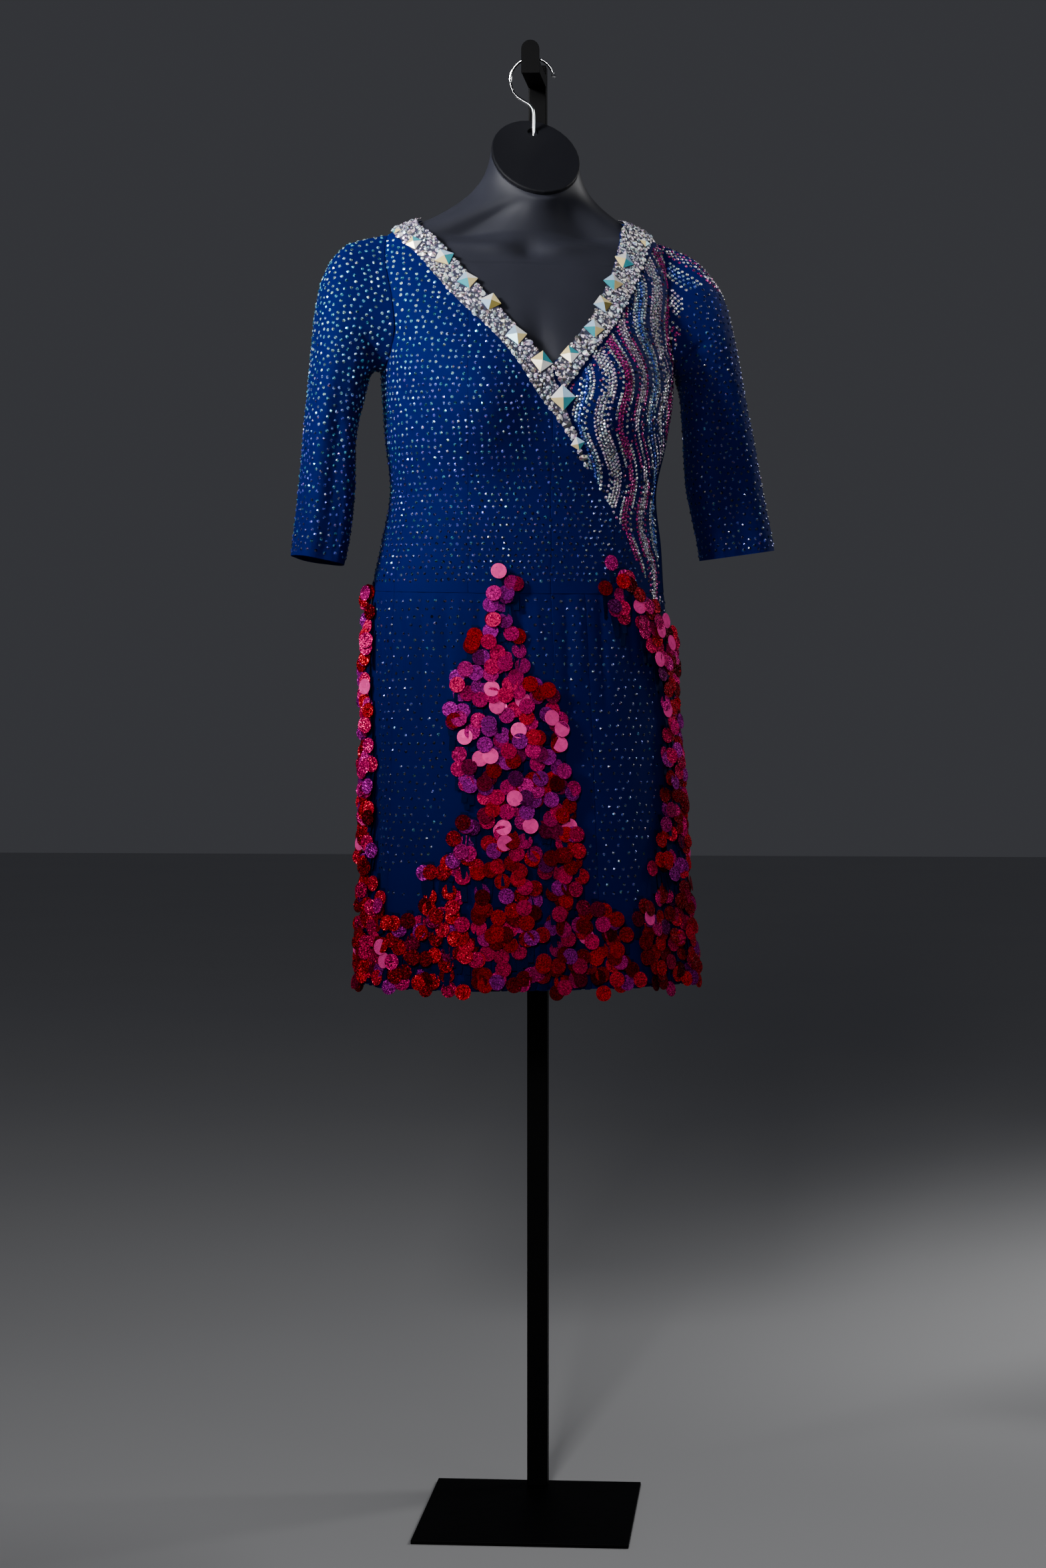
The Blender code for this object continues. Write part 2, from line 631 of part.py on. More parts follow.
SKIRT_PANELS = (
    ("name", "first", "last"),
    ("skirt_front_left", 27.0, 72.0),
    ("skirt_front_centre", 72.0, 85.5),
    ("skirt_front_right", 85.5, 153.0),
    ("skirt_back_right", 153.0, 270.0),
    ("skirt_back_left", 270.0, 387.0),
)


def skirt_panels(group, look, parent):
    """The gathered skirt: three front panels and two backs, seamed at the waist."""
    share = np.linspace(0, 1, SKIRT_ROWS + 1)[:, None]
    for name, first, last in SKIRT_PANELS[1:]:
        turn = skirt_turns(first, last)
        top = waist_z(turn) - SEAM_GAP * 0.5
        z = top * (1 - share) + HEM_Z * share
        turn = np.broadcast_to(turn, z.shape)
        outer = seam_gaps(turn, z, skirt, 0.0)
        inner = seam_gaps(turn, z, skirt, -CLOTH_T)
        wall(name, outer, inner, (group, look, parent))


def strip_tape(name, first, last, z_root, long, group, look, parent):
    """One tape laid on the skirt with a hanging strip for each step of the skirt."""
    closed = last - first >= 360
    low, high = math.ceil(first / SKIRT_STEP), math.floor(last / SKIRT_STEP)
    turns = np.arange(low, high + 1) * SKIRT_STEP
    count = len(turns) - 1
    heights = np.array([z_root, z_root - TAPE_H])
    rim = [[skirt(turns, h, STRIP_LIFT + t) for h in heights] for t in (0.0, TAPE_T)]
    shape = bmesh.new()

    def vert(point):
        return shape.verts.new(Vector(point))

    grid = [[[vert(p) for p in line[: count if closed else count + 1]] for line in side] for side in rim]
    if closed:
        for side in grid:
            for line in side:
                line.append(line[0])
    (in_top, in_low), (out_top, out_low) = grid
    for i in range(count):
        a, b = i, i + 1
        shape.faces.new((out_top[a], out_low[a], out_low[b], out_top[b]))
        shape.faces.new((in_top[b], in_low[b], in_low[a], in_top[a]))
        shape.faces.new((in_top[a], out_top[a], out_top[b], in_top[b]))
        wobble = math.sin(12.9898 * (i + 1) + 78.233 * z_root * 10)
        tip_z = z_root - TAPE_H - long * (1.0 + 0.10 * wobble)
        tip_out = 0.0052 + 0.0018 * math.cos(7.31 * i + z_root * 40)
        inset = 0.14
        pair = np.array([turns[a] + inset * SKIRT_STEP, turns[b] - inset * SKIRT_STEP])
        near = skirt(pair, tip_z, STRIP_LIFT + tip_out)
        far = skirt(pair, tip_z, STRIP_LIFT + tip_out + TAPE_T)
        n0, n1, f0, f1 = vert(near[0]), vert(near[1]), vert(far[0]), vert(far[1])
        shape.faces.new((out_low[a], f0, f1, out_low[b]))
        shape.faces.new((in_low[b], n1, n0, in_low[a]))
        shape.faces.new((in_low[a], n0, f0, out_low[a]))
        shape.faces.new((out_low[b], f1, n1, in_low[b]))
        shape.faces.new((n0, n1, f1, f0))
    if not closed:
        shape.faces.new((in_top[0], in_low[0], out_low[0], out_top[0]))
        shape.faces.new((out_top[-1], out_low[-1], in_low[-1], in_top[-1]))
    bmesh.ops.recalc_face_normals(shape, faces=shape.faces)
    bmesh.ops.triangulate(shape, faces=shape.faces)
    mesh = bpy.data.meshes.new(name)
    shape.to_mesh(mesh)
    shape.free()
    return add(name, mesh, group, look, parent)


# ---- form -----------------------------------------------------------------------
def tipped_ring(z, half, long, cx, cy, tip, turns):
    angle, lean = np.radians(turns), math.radians(tip)
    slide = -long * np.sin(angle)
    x = cx + half * np.cos(angle)
    return np.stack([x, cy + slide * math.cos(lean), z + slide * math.sin(lean)], axis=-1)


def form_torso(group, look, parent):
    """The limbless form, smooth and 4 mm inside the cloth, with its neck cut on a slant."""
    turns = np.arange(FORM_SIDES) * 360.0 / FORM_SIDES
    heights = [FORM_BOTTOM, 0.864, 0.875, 0.92, 0.98, 1.04, 1.09, 1.14, 1.185, 1.229, 1.26, 1.295, 1.332]
    heights += [1.365, 1.40, 1.44, 1.475, 1.50, 1.517, 1.531, 1.542, 1.551, 1.560]
    inset = [0.020, 0.013, 0.010] + [0.008] * 4 + [0.006, 0.005] + [FORM_CLEAR] * 14
    shape = bmesh.new()
    rings = [raised(turns, z, -gap) for z, gap in zip(heights, inset)]
    for ring, z in zip(rings, heights):
        ring[:, 2] = z if z < 1.50 else ring[:, 2]
    rings += [tipped_ring(*row, turns) for row in NECK[1:]]
    verts = [[shape.verts.new(Vector(p)) for p in ring] for ring in rings]
    for low, high in zip(verts, verts[1:]):
        for i in range(FORM_SIDES):
            j = (i + 1) % FORM_SIDES
            shape.faces.new((low[i], low[j], high[j], high[i]))
    shape.faces.new(verts[0])
    shape.faces.new(verts[-1])
    bmesh.ops.recalc_face_normals(shape, faces=shape.faces)
    mesh = bpy.data.meshes.new("form_torso")
    shape.to_mesh(mesh)
    shape.free()
    mesh.shade_smooth()
    mesh.set_sharp_from_angle(angle=math.radians(50))
    return add("form_torso", mesh, group, look, parent)


def neck_cap(group, cutters, look, parent):
    """The oval cap on the slant of the neck, with the hole for the hook."""
    z, half, long, cx, cy, tip = NECK[-1]
    turn = Matrix.Rotation(math.radians(tip), 4, "X")
    place = Matrix.Translation((cx, cy, z)) @ turn
    mesh = bpy.data.meshes.new("neck_cap")
    shape = bmesh.new()
    bmesh.ops.create_cone(
        shape, cap_ends=True, segments=32, radius1=1.0, radius2=1.0, depth=CAP_T,
        matrix=Matrix.Diagonal((half + 0.0006, long + 0.0006, 1.0, 1.0)),
    )
    shape.to_mesh(mesh)
    shape.free()
    obj = add("neck_cap", mesh, group, look, parent)
    obj.matrix_basis = place @ Matrix.Translation((0, 0, CAP_GAP + CAP_T / 2))
    edge = obj.modifiers.new("Bevel", "BEVEL")
    edge.width, edge.segments, edge.limit_method = 0.0015, 2, "ANGLE"
    edge.angle_limit = math.radians(60)
    bore = bpy.data.meshes.new("cap_bore")
    shape = bmesh.new()
    bmesh.ops.create_cone(
        shape, cap_ends=True, segments=20, radius1=CAP_HOLE_R, radius2=CAP_HOLE_R, depth=0.05
    )
    shape.to_mesh(bore)
    shape.free()
    cutter = add("cap_bore", bore, cutters, look, parent)
    cutter.hide_render, cutter.display_type = True, "WIRE"
    cutter.matrix_basis = place @ Matrix.Translation((CAP_HOLE_X, CAP_HOLE_SLIDE, 0))
    hole = obj.modifiers.new("Hole", "BOOLEAN")
    hole.operation, hole.object = "DIFFERENCE", cutter
    return obj


# ---- hook and stand ---------------------------------------------------------------
def hook(group, look):
    """The chrome wire hook over the arm, its stem down to the top of the form."""
    loop = [
        (LOOP_X + LOOP_R * math.sin(math.radians(a)), LOOP_Z + LOOP_R * math.cos(math.radians(a)))
        for a in range(72, -121, -8)
    ]
    neck_top = (
        (-0.0222, 1.7195), (-0.0175, 1.7145), (-0.0118, 1.7105), (-0.0060, 1.7070),
        (-0.0012, 1.7035), (0.0016, 1.6990), (0.0027, 1.6935), (HOOK_X, 1.6860),
        (HOOK_X, 1.6760), (HOOK_X, STEM_END),
    )
    path = loop[:-1] + list(neck_top)
    curve = bpy.data.curves.new("hook_wire", "CURVE")
    curve.dimensions = "3D"
    curve.bevel_depth, curve.bevel_resolution = WIRE_R, 2
    curve.use_fill_caps = True
    spline = curve.splines.new("POLY")
    spline.points.add(len(path) - 1)
    for point, (x, z) in zip(spline.points, path):
        point.co = (x, HOOK_Y, z, 1.0)
    wire = bpy.data.objects.new("hook_wire", curve)
    curve.materials.append(look)
    group.objects.link(wire)
    # The ball at the wire's end is 0.3 mm clear of it.
    angle = math.radians(72)
    tip = Vector((LOOP_X + LOOP_R * math.sin(angle), 0, LOOP_Z + LOOP_R * math.cos(angle)))
    ahead = Vector((math.cos(angle), 0, -math.sin(angle)))
    centre = tip + ahead * (BALL_R + SEAM_GAP)
    ball = bpy.data.meshes.new("hook_ball")
    shape = bmesh.new()
    bmesh.ops.create_uvsphere(shape, u_segments=12, v_segments=8, radius=BALL_R)
    shape.to_mesh(ball)
    shape.free()
    ball.shade_smooth()
    obj = add("hook_ball", ball, group, look)
    obj.location = (centre.x, HOOK_Y, centre.z)


def stand(group, look):
    box("base_plate", (PLATE_W, PLATE_D, PLATE_T), (0, 0, PLATE_T / 2), group, look, 0.0008)
    low = PLATE_T + WELD_GAP
    size, centre = (POST_SIDE, POST_SIDE, POST_TOP - low), (0, POST_Y, (POST_TOP + low) / 2)
    box("post", size, centre, group, look, 0.0015)
    low = POST_TOP + WELD_GAP
    size, centre = (TUBE_SIDE, TUBE_SIDE, TUBE_TOP - low), (0, POST_Y, (TUBE_TOP + low) / 2)
    box("post_extension", size, centre, group, look, 0.0012)
    back = POST_Y - TUBE_SIDE / 2 - WELD_GAP
    arm_len = back - ARM_FRONT
    box(
        "hook_arm", (ARM_W, arm_len, ARM_HIGH - ARM_LOW),
        (0, (back + ARM_FRONT) / 2, (ARM_HIGH + ARM_LOW) / 2), group, look,
    )
    outline = bpy.data.curves.new("arm_stop", "CURVE")
    outline.dimensions, outline.fill_mode = "2D", "BOTH"
    outline.extrude = STOP_T / 2
    r = STOP_W / 2
    corner = STOP_HIGH - r
    shape = [(-r, STOP_LOW), (r, STOP_LOW)]
    arc = [math.radians(a) for a in range(0, 181, 15)]
    shape += [(r * math.cos(a), corner + r * math.sin(a)) for a in arc]
    spline = outline.splines.new("POLY")
    spline.points.add(len(shape) - 1)
    spline.use_cyclic_u = True
    for point, (x, z) in zip(spline.points, shape):
        point.co = (x, z, 0, 1)
    stop = bpy.data.objects.new("arm_stop", outline)
    outline.materials.append(look)
    group.objects.link(stop)
    stop.rotation_euler = (math.radians(90), 0, 0)
    stop.location = (0, ARM_FRONT - WELD_GAP - STOP_T / 2, 0)


def main():
    clear_scene()
    parts = collection("salsa_dance_dress")
    cutters = collection("cutters")
    blue = material("blue stretch cloth", BLUE, 0.62)
    red = material("disc strips", RED, 0.35, 0.3)
    silver = material("jewelled band", SILVER, 0.25, 0.3)
    black = material("black form", BLACK, 0.5)
    coated = material("black powder coat", BLACK, 0.45)
    chrome = material("chrome", CHROME, 0.12, 1.0)

    axis = bpy.data.objects.new("form_axis", None)
    parts.objects.link(axis)
    axis.location = (FORM_X, FORM_Y, 0)
    axis.rotation_euler = (0, 0, FORM_TURN)

    stand(parts, coated)
    hook(parts, chrome)
    form_torso(parts, black, axis)
    neck_cap(parts, cutters, black, axis)
    bodice(parts, blue, axis)
    bands(parts, silver, axis)
    sleeve("sleeve_right", SLEEVE_R, 180.0, -1, -1, parts, blue, axis)
    sleeve("sleeve_left", SLEEVE_L, 0.0, 1, 1, parts, blue, axis)
    skirt_panels(parts, blue, axis)
    for row in STRIPS[1:]:
        strip_tape(f"strips_{row[0]}", *row[1:], parts, red, axis)
    bpy.context.view_layer.update()


if __name__ == "__main__":
    main()
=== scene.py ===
"""Looks of a salsa dance dress on a hanging dress form with its hook and post stand.

Metres, +Z up, front towards -Y. The form and the dress hang turned a little about the hook,
so their shapes are worked out in the form's own axes and then turned into the frame's.
A place on the dress is (turn, height): turn 0 is the wearer's left side, 90 the centre front,
180 the wearer's right side and 270 the centre back. A place on a sleeve is (round, ring).
"""

import logging
import math
from dataclasses import dataclass, field
from enum import Enum
from typing import Callable, Sequence

import bpy
import numpy as np
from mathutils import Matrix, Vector


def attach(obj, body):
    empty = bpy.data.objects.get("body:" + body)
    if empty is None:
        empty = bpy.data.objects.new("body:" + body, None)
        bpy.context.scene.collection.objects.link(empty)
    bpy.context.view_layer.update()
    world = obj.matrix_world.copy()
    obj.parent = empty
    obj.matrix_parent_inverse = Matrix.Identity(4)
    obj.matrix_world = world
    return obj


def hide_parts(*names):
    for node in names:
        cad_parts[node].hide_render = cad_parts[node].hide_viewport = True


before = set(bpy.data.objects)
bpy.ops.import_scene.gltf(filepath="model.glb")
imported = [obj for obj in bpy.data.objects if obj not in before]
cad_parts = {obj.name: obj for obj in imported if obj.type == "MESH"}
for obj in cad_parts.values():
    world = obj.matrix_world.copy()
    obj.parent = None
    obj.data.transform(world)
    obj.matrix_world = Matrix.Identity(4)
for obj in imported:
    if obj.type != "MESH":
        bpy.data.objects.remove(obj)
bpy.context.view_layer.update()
LOG = logging.getLogger("dress")

Array = np.ndarray
Object, Material = bpy.types.Object, bpy.types.Material
Node, Socket = bpy.types.Node, bpy.types.NodeSocket
Line = tuple[Array, Array]  # turns and heights, or places round a sleeve and rings
Lift = float | Array
Surface = Callable[[Array, Array, Lift], Array]

# ---- sizes shared by the pieces ----
FORM_TURN = math.radians(17.0)
FORM_X, FORM_Y = 0.0022, 0.0
CLOTH_T = 0.0007
SEAM_GAP = 0.0003
BAND_LIFT, BAND_T = 0.0026, 0.0007
HEM_Z = 0.648
SQUARE = 0.045
DEGREE = 0.0031  # length of one degree of turn on the dress, about
BUST_Z, BUST_X, BUST_OUT, BUST_WIDE, BUST_TALL = 1.332, 0.084, 0.024, 0.056, 0.062
ARMHOLE_LOW, ARMHOLE_HIGH, ARMHOLE_SPREAD = 1.372, 1.537, 26.0
ARMHOLE_MID, ARMHOLE_TALL = (ARMHOLE_HIGH + ARMHOLE_LOW) / 2, (ARMHOLE_HIGH - ARMHOLE_LOW) / 2
V_Z, BACK_NECK_Z = 1.374, 1.497
CENTRE_BACK, FULL_TURN = 270.0, 360.0
SLEEVE_END = 11.0  # a sleeve's last ring
STONE_R, STONE_SUNK = 0.0021, 0.0001
ANY_SPIN = 6.28  # the range of a stone's spin, in radians
UP = np.array([0.0, 0.0, 1.0])


@dataclass(frozen=True)
class Table:
    """A short table of sizes with named columns."""

    names: tuple[str, ...]
    rows: tuple[tuple[float, ...], ...]

    def column(self, name: str) -> Array:
        """One column of the table."""
        return np.array([row[self.names.index(name)] for row in self.rows], float)

    def columns(self) -> tuple[Array, ...]:
        """Every column of the table."""
        return tuple(self.column(name) for name in self.names)

    def at(self, key: str, name: str, where: Array) -> Array:
        """A column's value where the key column has the values given."""
        return smooth(self.column(key), self.column(name), where)


BODY = Table(
    ("z", "half", "front", "back", "cx", "cy"),
    (
        (0.6, 0.2, 0.136, 0.13, -0.013, -0.036), (0.648, 0.198, 0.135, 0.129, -0.013, -0.036),
        (0.783, 0.1905, 0.133, 0.126, -0.0165, -0.035), (0.942, 0.183, 0.129, 0.126, -0.0195, -0.033),
        (1.054, 0.179, 0.123, 0.121, -0.0222, -0.031), (1.112, 0.1755, 0.116, 0.111, -0.0225, -0.03),
        (1.166, 0.169, 0.109, 0.101, -0.019, -0.03), (1.229, 0.1605, 0.104, 0.093, -0.0164, -0.03),
        (1.293, 0.17, 0.11, 0.097, -0.013, -0.03), (1.357, 0.176, 0.113, 0.106, -0.0111, -0.029),
        (1.41, 0.178, 0.106, 0.11, -0.0115, -0.025), (1.45, 0.182, 0.092, 0.105, -0.0125, -0.02),
        (1.48, 0.183, 0.078, 0.096, -0.013, -0.015), (1.5, 0.181, 0.068, 0.088, -0.013, -0.011),
        (1.52, 0.175, 0.059, 0.078, -0.013, -0.008), (1.535, 0.166, 0.053, 0.069, -0.013, -0.006),
        (1.545, 0.152, 0.049, 0.062, -0.0125, -0.006), (1.553, 0.134, 0.046, 0.057, -0.011, -0.006),
        (1.56, 0.113, 0.045, 0.053, -0.008, -0.006), (1.568, 0.093, 0.046, 0.051, -0.004, -0.006),
        (1.58, 0.072, 0.048, 0.05, 0.0, -0.006),
    ),
)
SIDE_TURNS = Table(
    ("z", "turn"),
    ((1.060, 152.8), (1.112, 153.0), (1.230, 156.0), (1.310, 164.0), (1.372, 180.0)),
)
FRONT_SEAM_R = Table(
    ("z", "turn"),
    ((1.060, 117.0), (1.110, 117.2), (1.230, 121.2), (1.330, 122.2), (1.483, 115.8)),
)
FRONT_SEAM_L = Table(
    ("z", "turn"),
    ((1.060, 61.0), (1.110, 60.5), (1.230, 57.0), (1.330, 56.2), (1.496, 59.2)),
)
CENTRE_FRONT = Table(("z", "turn"), ((0.640, 85.5), (1.110, 85.5), (1.224, 86.3), (1.374, 89.8)))
NECKLINE_R = Table(
    ("turn", "z"),
    (
        (89.8, 1.374), (98.8, 1.408), (107.8, 1.447), (115.8, 1.483), (124.8, 1.516), (134.0, 1.536),
        (156.0, 1.55), (180.0, 1.556),
    ),
)
NECKLINE_L = Table(
    ("turn", "z"),
    (
        (89.8, 1.374), (85.2, 1.383), (80.8, 1.398), (76.5, 1.414), (71.8, 1.432), (65.5, 1.464),
        (59.2, 1.496), (52.8, 1.527), (45.0, 1.545), (24.0, 1.556), (0.0, 1.5605),
    ),
)
BAND_R_OUT = Table(
    ("turn", "z"),
    (
        (180.0, 1.5435), (155.0, 1.532), (137.0, 1.508), (128.6, 1.48), (120.8, 1.448),
        (112.6, 1.419), (105.0, 1.388), (100.2, 1.366), (96.2, 1.345), (86.0, 1.309),
        (76.8, 1.272), (71.5, 1.253),
    ),
)
BAND_R_TAIL = Table(
    ("turn", "z"), ((89.8, 1.3740), (87.6, 1.3520), (83.2, 1.3220), (78.2, 1.2900), (72.6, 1.2580))
)
BAND_L_OUT = Table(
    ("turn", "z"),
    (
        (0.0, 1.546), (20.0, 1.538), (36.0, 1.524), (49.0, 1.483), (55.8, 1.452), (64.5, 1.417),
        (73.8, 1.385), (79.5, 1.362), (84.6, 1.342),
    ),
)
BAND_MEET, BAND_TIP = 84.6, 71.5  # turns at which the band's two parts meet and its right part ends
# Edge of the ornament towards the band and the wrap line, from its tip up.
ORNAMENT_EDGE = Table(
    ("z", "turn"),
    (
        (1.099, 36.2), (1.156, 48.8), (1.202, 58.0), (1.253, 70.0), (1.29, 76.6), (1.322, 81.4),
        (1.342, 83.0), (1.362, 78.0), (1.385, 73.0), (1.417, 63.8), (1.452, 55.1), (1.483, 48.3),
        (1.518, 37.2), (1.532, 20.0), (1.542, 0.0),
    ),
)
SLEEVE_R = Table(
    ("out_x", "out_z", "in_x", "in_z", "deep", "cy"),
    (
        (-0.201, 1.5345, -0.1915, 1.3735, 0.05, -0.014),
        (-0.224, 1.5255, -0.1955, 1.3725, 0.054, -0.0135),
        (-0.243, 1.508, -0.1985, 1.37, 0.056, -0.013),
        (-0.257, 1.48, -0.201, 1.365, 0.057, -0.013),
        (-0.2645, 1.445, -0.204, 1.354, 0.057, -0.013),
        (-0.269, 1.405, -0.2085, 1.336, 0.056, -0.013),
        (-0.273, 1.36, -0.215, 1.312, 0.055, -0.014),
        (-0.2785, 1.31, -0.2195, 1.28, 0.053, -0.015),
        (-0.283, 1.26, -0.22, 1.24, 0.052, -0.016),
        (-0.288, 1.212, -0.2235, 1.198, 0.051, -0.017),
        (-0.2925, 1.175, -0.229, 1.162, 0.05, -0.018),
        (-0.295, 1.154, -0.2335, 1.142, 0.05, -0.018),
    ),
)
SLEEVE_L = Table(
    ("out_x", "out_z", "in_x", "in_z", "deep", "cy"),
    (
        (0.174, 1.532, 0.1695, 1.3735, 0.05, -0.014), (0.197, 1.519, 0.1735, 1.3725, 0.054, -0.0135),
        (0.218, 1.4985, 0.177, 1.37, 0.056, -0.013), (0.234, 1.471, 0.18, 1.365, 0.056, -0.013),
        (0.243, 1.437, 0.183, 1.354, 0.055, -0.013), (0.251, 1.4, 0.185, 1.336, 0.053, -0.013),
        (0.259, 1.356, 0.186, 1.312, 0.051, -0.014), (0.269, 1.306, 0.187, 1.28, 0.049, -0.015),
        (0.279, 1.256, 0.189, 1.242, 0.047, -0.016), (0.288, 1.211, 0.1965, 1.202, 0.046, -0.017),
        (0.2945, 1.179, 0.203, 1.17, 0.045, -0.018), (0.297, 1.164, 0.206, 1.151, 0.045, -0.018),
    ),
)
SLEEVE_FOLDS = Table(
    ("round", "wide", "out", "first"),
    (
        (52.0, 24.0, 0.004, 3), (92.0, 22.0, -0.006, 4), (135.0, 24.0, 0.0035, 5),
        (228.0, 22.0, -0.005, 4), (275.0, 26.0, 0.004, 3), (318.0, 20.0, -0.004, 5),
    ),
)
SKIRT_FOLDS = Table(
    ("turn", "wide", "out", "top"),
    (
        (8.0, 7.5, -0.006, 1.05), (27.0, 7.0, 0.0035, 1.0), (43.0, 7.5, -0.0055, 1.06),
        (58.0, 6.0, 0.0025, 0.95), (78.0, 7.0, -0.0045, 1.04), (104.0, 7.5, -0.004, 1.06),
        (118.0, 6.5, 0.003, 1.0), (137.0, 7.5, -0.006, 1.08), (151.0, 6.5, 0.0035, 1.02),
        (166.0, 7.0, -0.0065, 1.07), (188.0, 7.0, -0.004, 1.03), (205.0, 7.5, 0.004, 1.0),
        (222.0, 8.0, -0.0055, 1.05), (246.0, 7.5, -0.0045, 1.06), (262.0, 7.0, 0.0035, 0.98),
        (283.0, 7.5, -0.0055, 1.05), (304.0, 7.5, 0.0035, 1.02), (322.0, 8.0, -0.0055, 1.07),
        (344.0, 7.0, 0.0035, 1.0),
    ),
)
# Small creases: a line from one (turn, height) to another, its half width and its depth.
BODICE_CREASES = Table(
    ("u0", "v0", "u1", "v1", "wide", "out"),
    (
        (158.0, 1.425, 132.0, 1.375, 0.007, -0.0022), (160.0, 1.398, 138.0, 1.352, 0.006, 0.0018),
        (165.0, 1.376, 146.0, 1.318, 0.007, -0.002), (20.0, 1.42, 42.0, 1.372, 0.0065, -0.0024),
        (18.0, 1.394, 40.0, 1.345, 0.006, 0.002), (14.0, 1.372, 34.0, 1.318, 0.0065, -0.0022),
        (156.0, 1.178, 128.0, 1.15, 0.008, -0.0016), (154.0, 1.15, 132.0, 1.134, 0.006, 0.0012),
        (26.0, 1.172, 50.0, 1.15, 0.008, -0.0014), (204.0, 1.42, 232.0, 1.39, 0.008, -0.0022),
        (336.0, 1.42, 308.0, 1.39, 0.008, -0.0022), (206.0, 1.18, 244.0, 1.16, 0.009, -0.002),
        (334.0, 1.18, 296.0, 1.16, 0.009, -0.002), (215.0, 1.15, 262.0, 1.14, 0.008, 0.0014),
        (325.0, 1.15, 280.0, 1.14, 0.008, 0.0014),
    ),
)
SKIRT_CREASES = Table(
    ("u0", "v0", "u1", "v1", "wide", "out"),
    (
        (148.0, 1.108, 146.0, 0.98, 0.005, -0.0022), (142.0, 1.108, 141.0, 1.01, 0.0045, 0.0014),
        (136.5, 1.108, 136.0, 0.94, 0.005, -0.0024), (131.0, 1.106, 131.0, 1.03, 0.0045, 0.0012),
        (126.0, 1.106, 125.5, 0.99, 0.005, -0.0018), (121.0, 1.106, 121.0, 1.04, 0.0045, 0.0012),
        (113.0, 1.105, 113.5, 1.02, 0.005, -0.0016), (107.0, 1.105, 107.0, 1.04, 0.0045, 0.0012),
        (97.0, 1.105, 97.0, 0.96, 0.0055, -0.002), (91.0, 1.105, 91.0, 1.03, 0.0045, 0.0012),
        (80.0, 1.105, 80.0, 0.96, 0.005, -0.0018), (75.0, 1.105, 75.0, 1.01, 0.0045, 0.0012),
        (66.0, 1.106, 66.0, 0.97, 0.005, -0.002), (60.0, 1.106, 60.0, 1.04, 0.0045, 0.0012),
        (53.0, 1.107, 53.0, 0.96, 0.005, -0.0018), (160.0, 1.108, 160.0, 0.96, 0.005, -0.0018),
        (172.0, 1.108, 172.0, 1.0, 0.005, -0.0016), (199.0, 1.11, 199.0, 0.99, 0.0055, -0.002),
        (213.0, 1.112, 213.0, 1.02, 0.0055, -0.0018), (233.0, 1.114, 233.0, 0.96, 0.0055, -0.0022),
        (254.0, 1.115, 254.0, 1.0, 0.0055, -0.0018), (275.0, 1.115, 275.0, 0.98, 0.0055, -0.002),
        (293.0, 1.115, 293.0, 1.01, 0.0055, -0.0018), (312.0, 1.113, 312.0, 0.97, 0.0055, -0.0022),
        (332.0, 1.111, 332.0, 1.01, 0.0055, -0.0018), (352.0, 1.108, 352.0, 0.98, 0.0055, -0.0018),
    ),
)
# Creases of a sleeve: from one (round, ring) to another.
SLEEVE_CREASES = Table(
    ("u0", "v0", "u1", "v1", "wide", "out"),
    (
        (150.0, 1.2, 100.0, 3.0, 0.0065, -0.0026), (160.0, 1.8, 112.0, 4.1, 0.0065, 0.002),
        (172.0, 2.6, 128.0, 5.2, 0.007, -0.0026), (196.0, 1.4, 244.0, 3.4, 0.007, -0.0026),
        (190.0, 2.4, 236.0, 5.0, 0.0065, 0.0018), (150.0, 5.6, 100.0, 6.6, 0.008, -0.0018),
        (70.0, 6.2, 120.0, 7.4, 0.008, -0.0016), (30.0, 7.0, 75.0, 8.6, 0.008, 0.0014),
        (215.0, 6.0, 262.0, 7.4, 0.008, -0.0018), (20.0, 8.4, 12.0, 11.0, 0.006, -0.0016),
        (110.0, 8.6, 116.0, 11.0, 0.006, -0.0018), (196.0, 8.2, 200.0, 11.0, 0.006, -0.0016),
        (300.0, 8.8, 296.0, 11.0, 0.006, -0.0016),
    ),
)
NECK = Table(
    ("z", "half", "long", "cx", "cy", "tip"),
    (
        (1.5745, 0.079, 0.05, 0.0005, -0.0065, 5.0), (1.588, 0.0645, 0.0535, 0.0015, -0.008, 15.0),
        (1.603, 0.058, 0.057, 0.002, -0.0095, 28.0), (1.619, 0.0545, 0.062, 0.0025, -0.0085, 40.0),
        (1.6337, 0.053, 0.0676, 0.003, -0.0065, 47.0),
    ),
)


# ---- arithmetic ----
def smooth(keys: Array, values: Array, where: Array) -> Array:
    """A cubic through points, flattened at its turning points.

    Args:
        keys: rising or falling places of the points.
        values: the points' values.
        where: the places to read.

    Returns:
        The values read.
    """
    if keys[0] > keys[-1]:
        keys, values = keys[::-1], values[::-1]
    where = np.clip(where, keys[0], keys[-1])
    step = np.diff(keys)
    slope = np.diff(values) / step
    tangent = np.zeros(len(keys))
    tangent[0], tangent[-1] = slope[0], slope[-1]
    both = slope[:-1] * slope[1:] > 0
    weight = 2.0 * slope[:-1] * slope[1:] / np.where(both, slope[:-1] + slope[1:], 1.0)
    tangent[1:-1] = np.where(both, weight, 0.0)
    i = np.clip(np.searchsorted(keys, where, side="right") - 1, 0, len(step) - 1)
    u = (where - keys[i]) / step[i]
    return (
        (1 + 2 * u) * (1 - u) ** 2 * values[i]
        + u * (1 - u) ** 2 * step[i] * tangent[i]
        + u * u * (3 - 2 * u) * values[i + 1]
        - u * u * (1 - u) * step[i] * tangent[i + 1]
    )


def wrapped(turn: Array) -> Array:
    """A difference of turns, brought between -180 and 180 degrees."""
    return (turn + 180.0) % 360.0 - 180.0


def unit(vectors: Array) -> Array:
    """Vectors of length one."""
    return vectors / np.maximum(np.linalg.norm(vectors, axis=-1, keepdims=True), 1e-12)


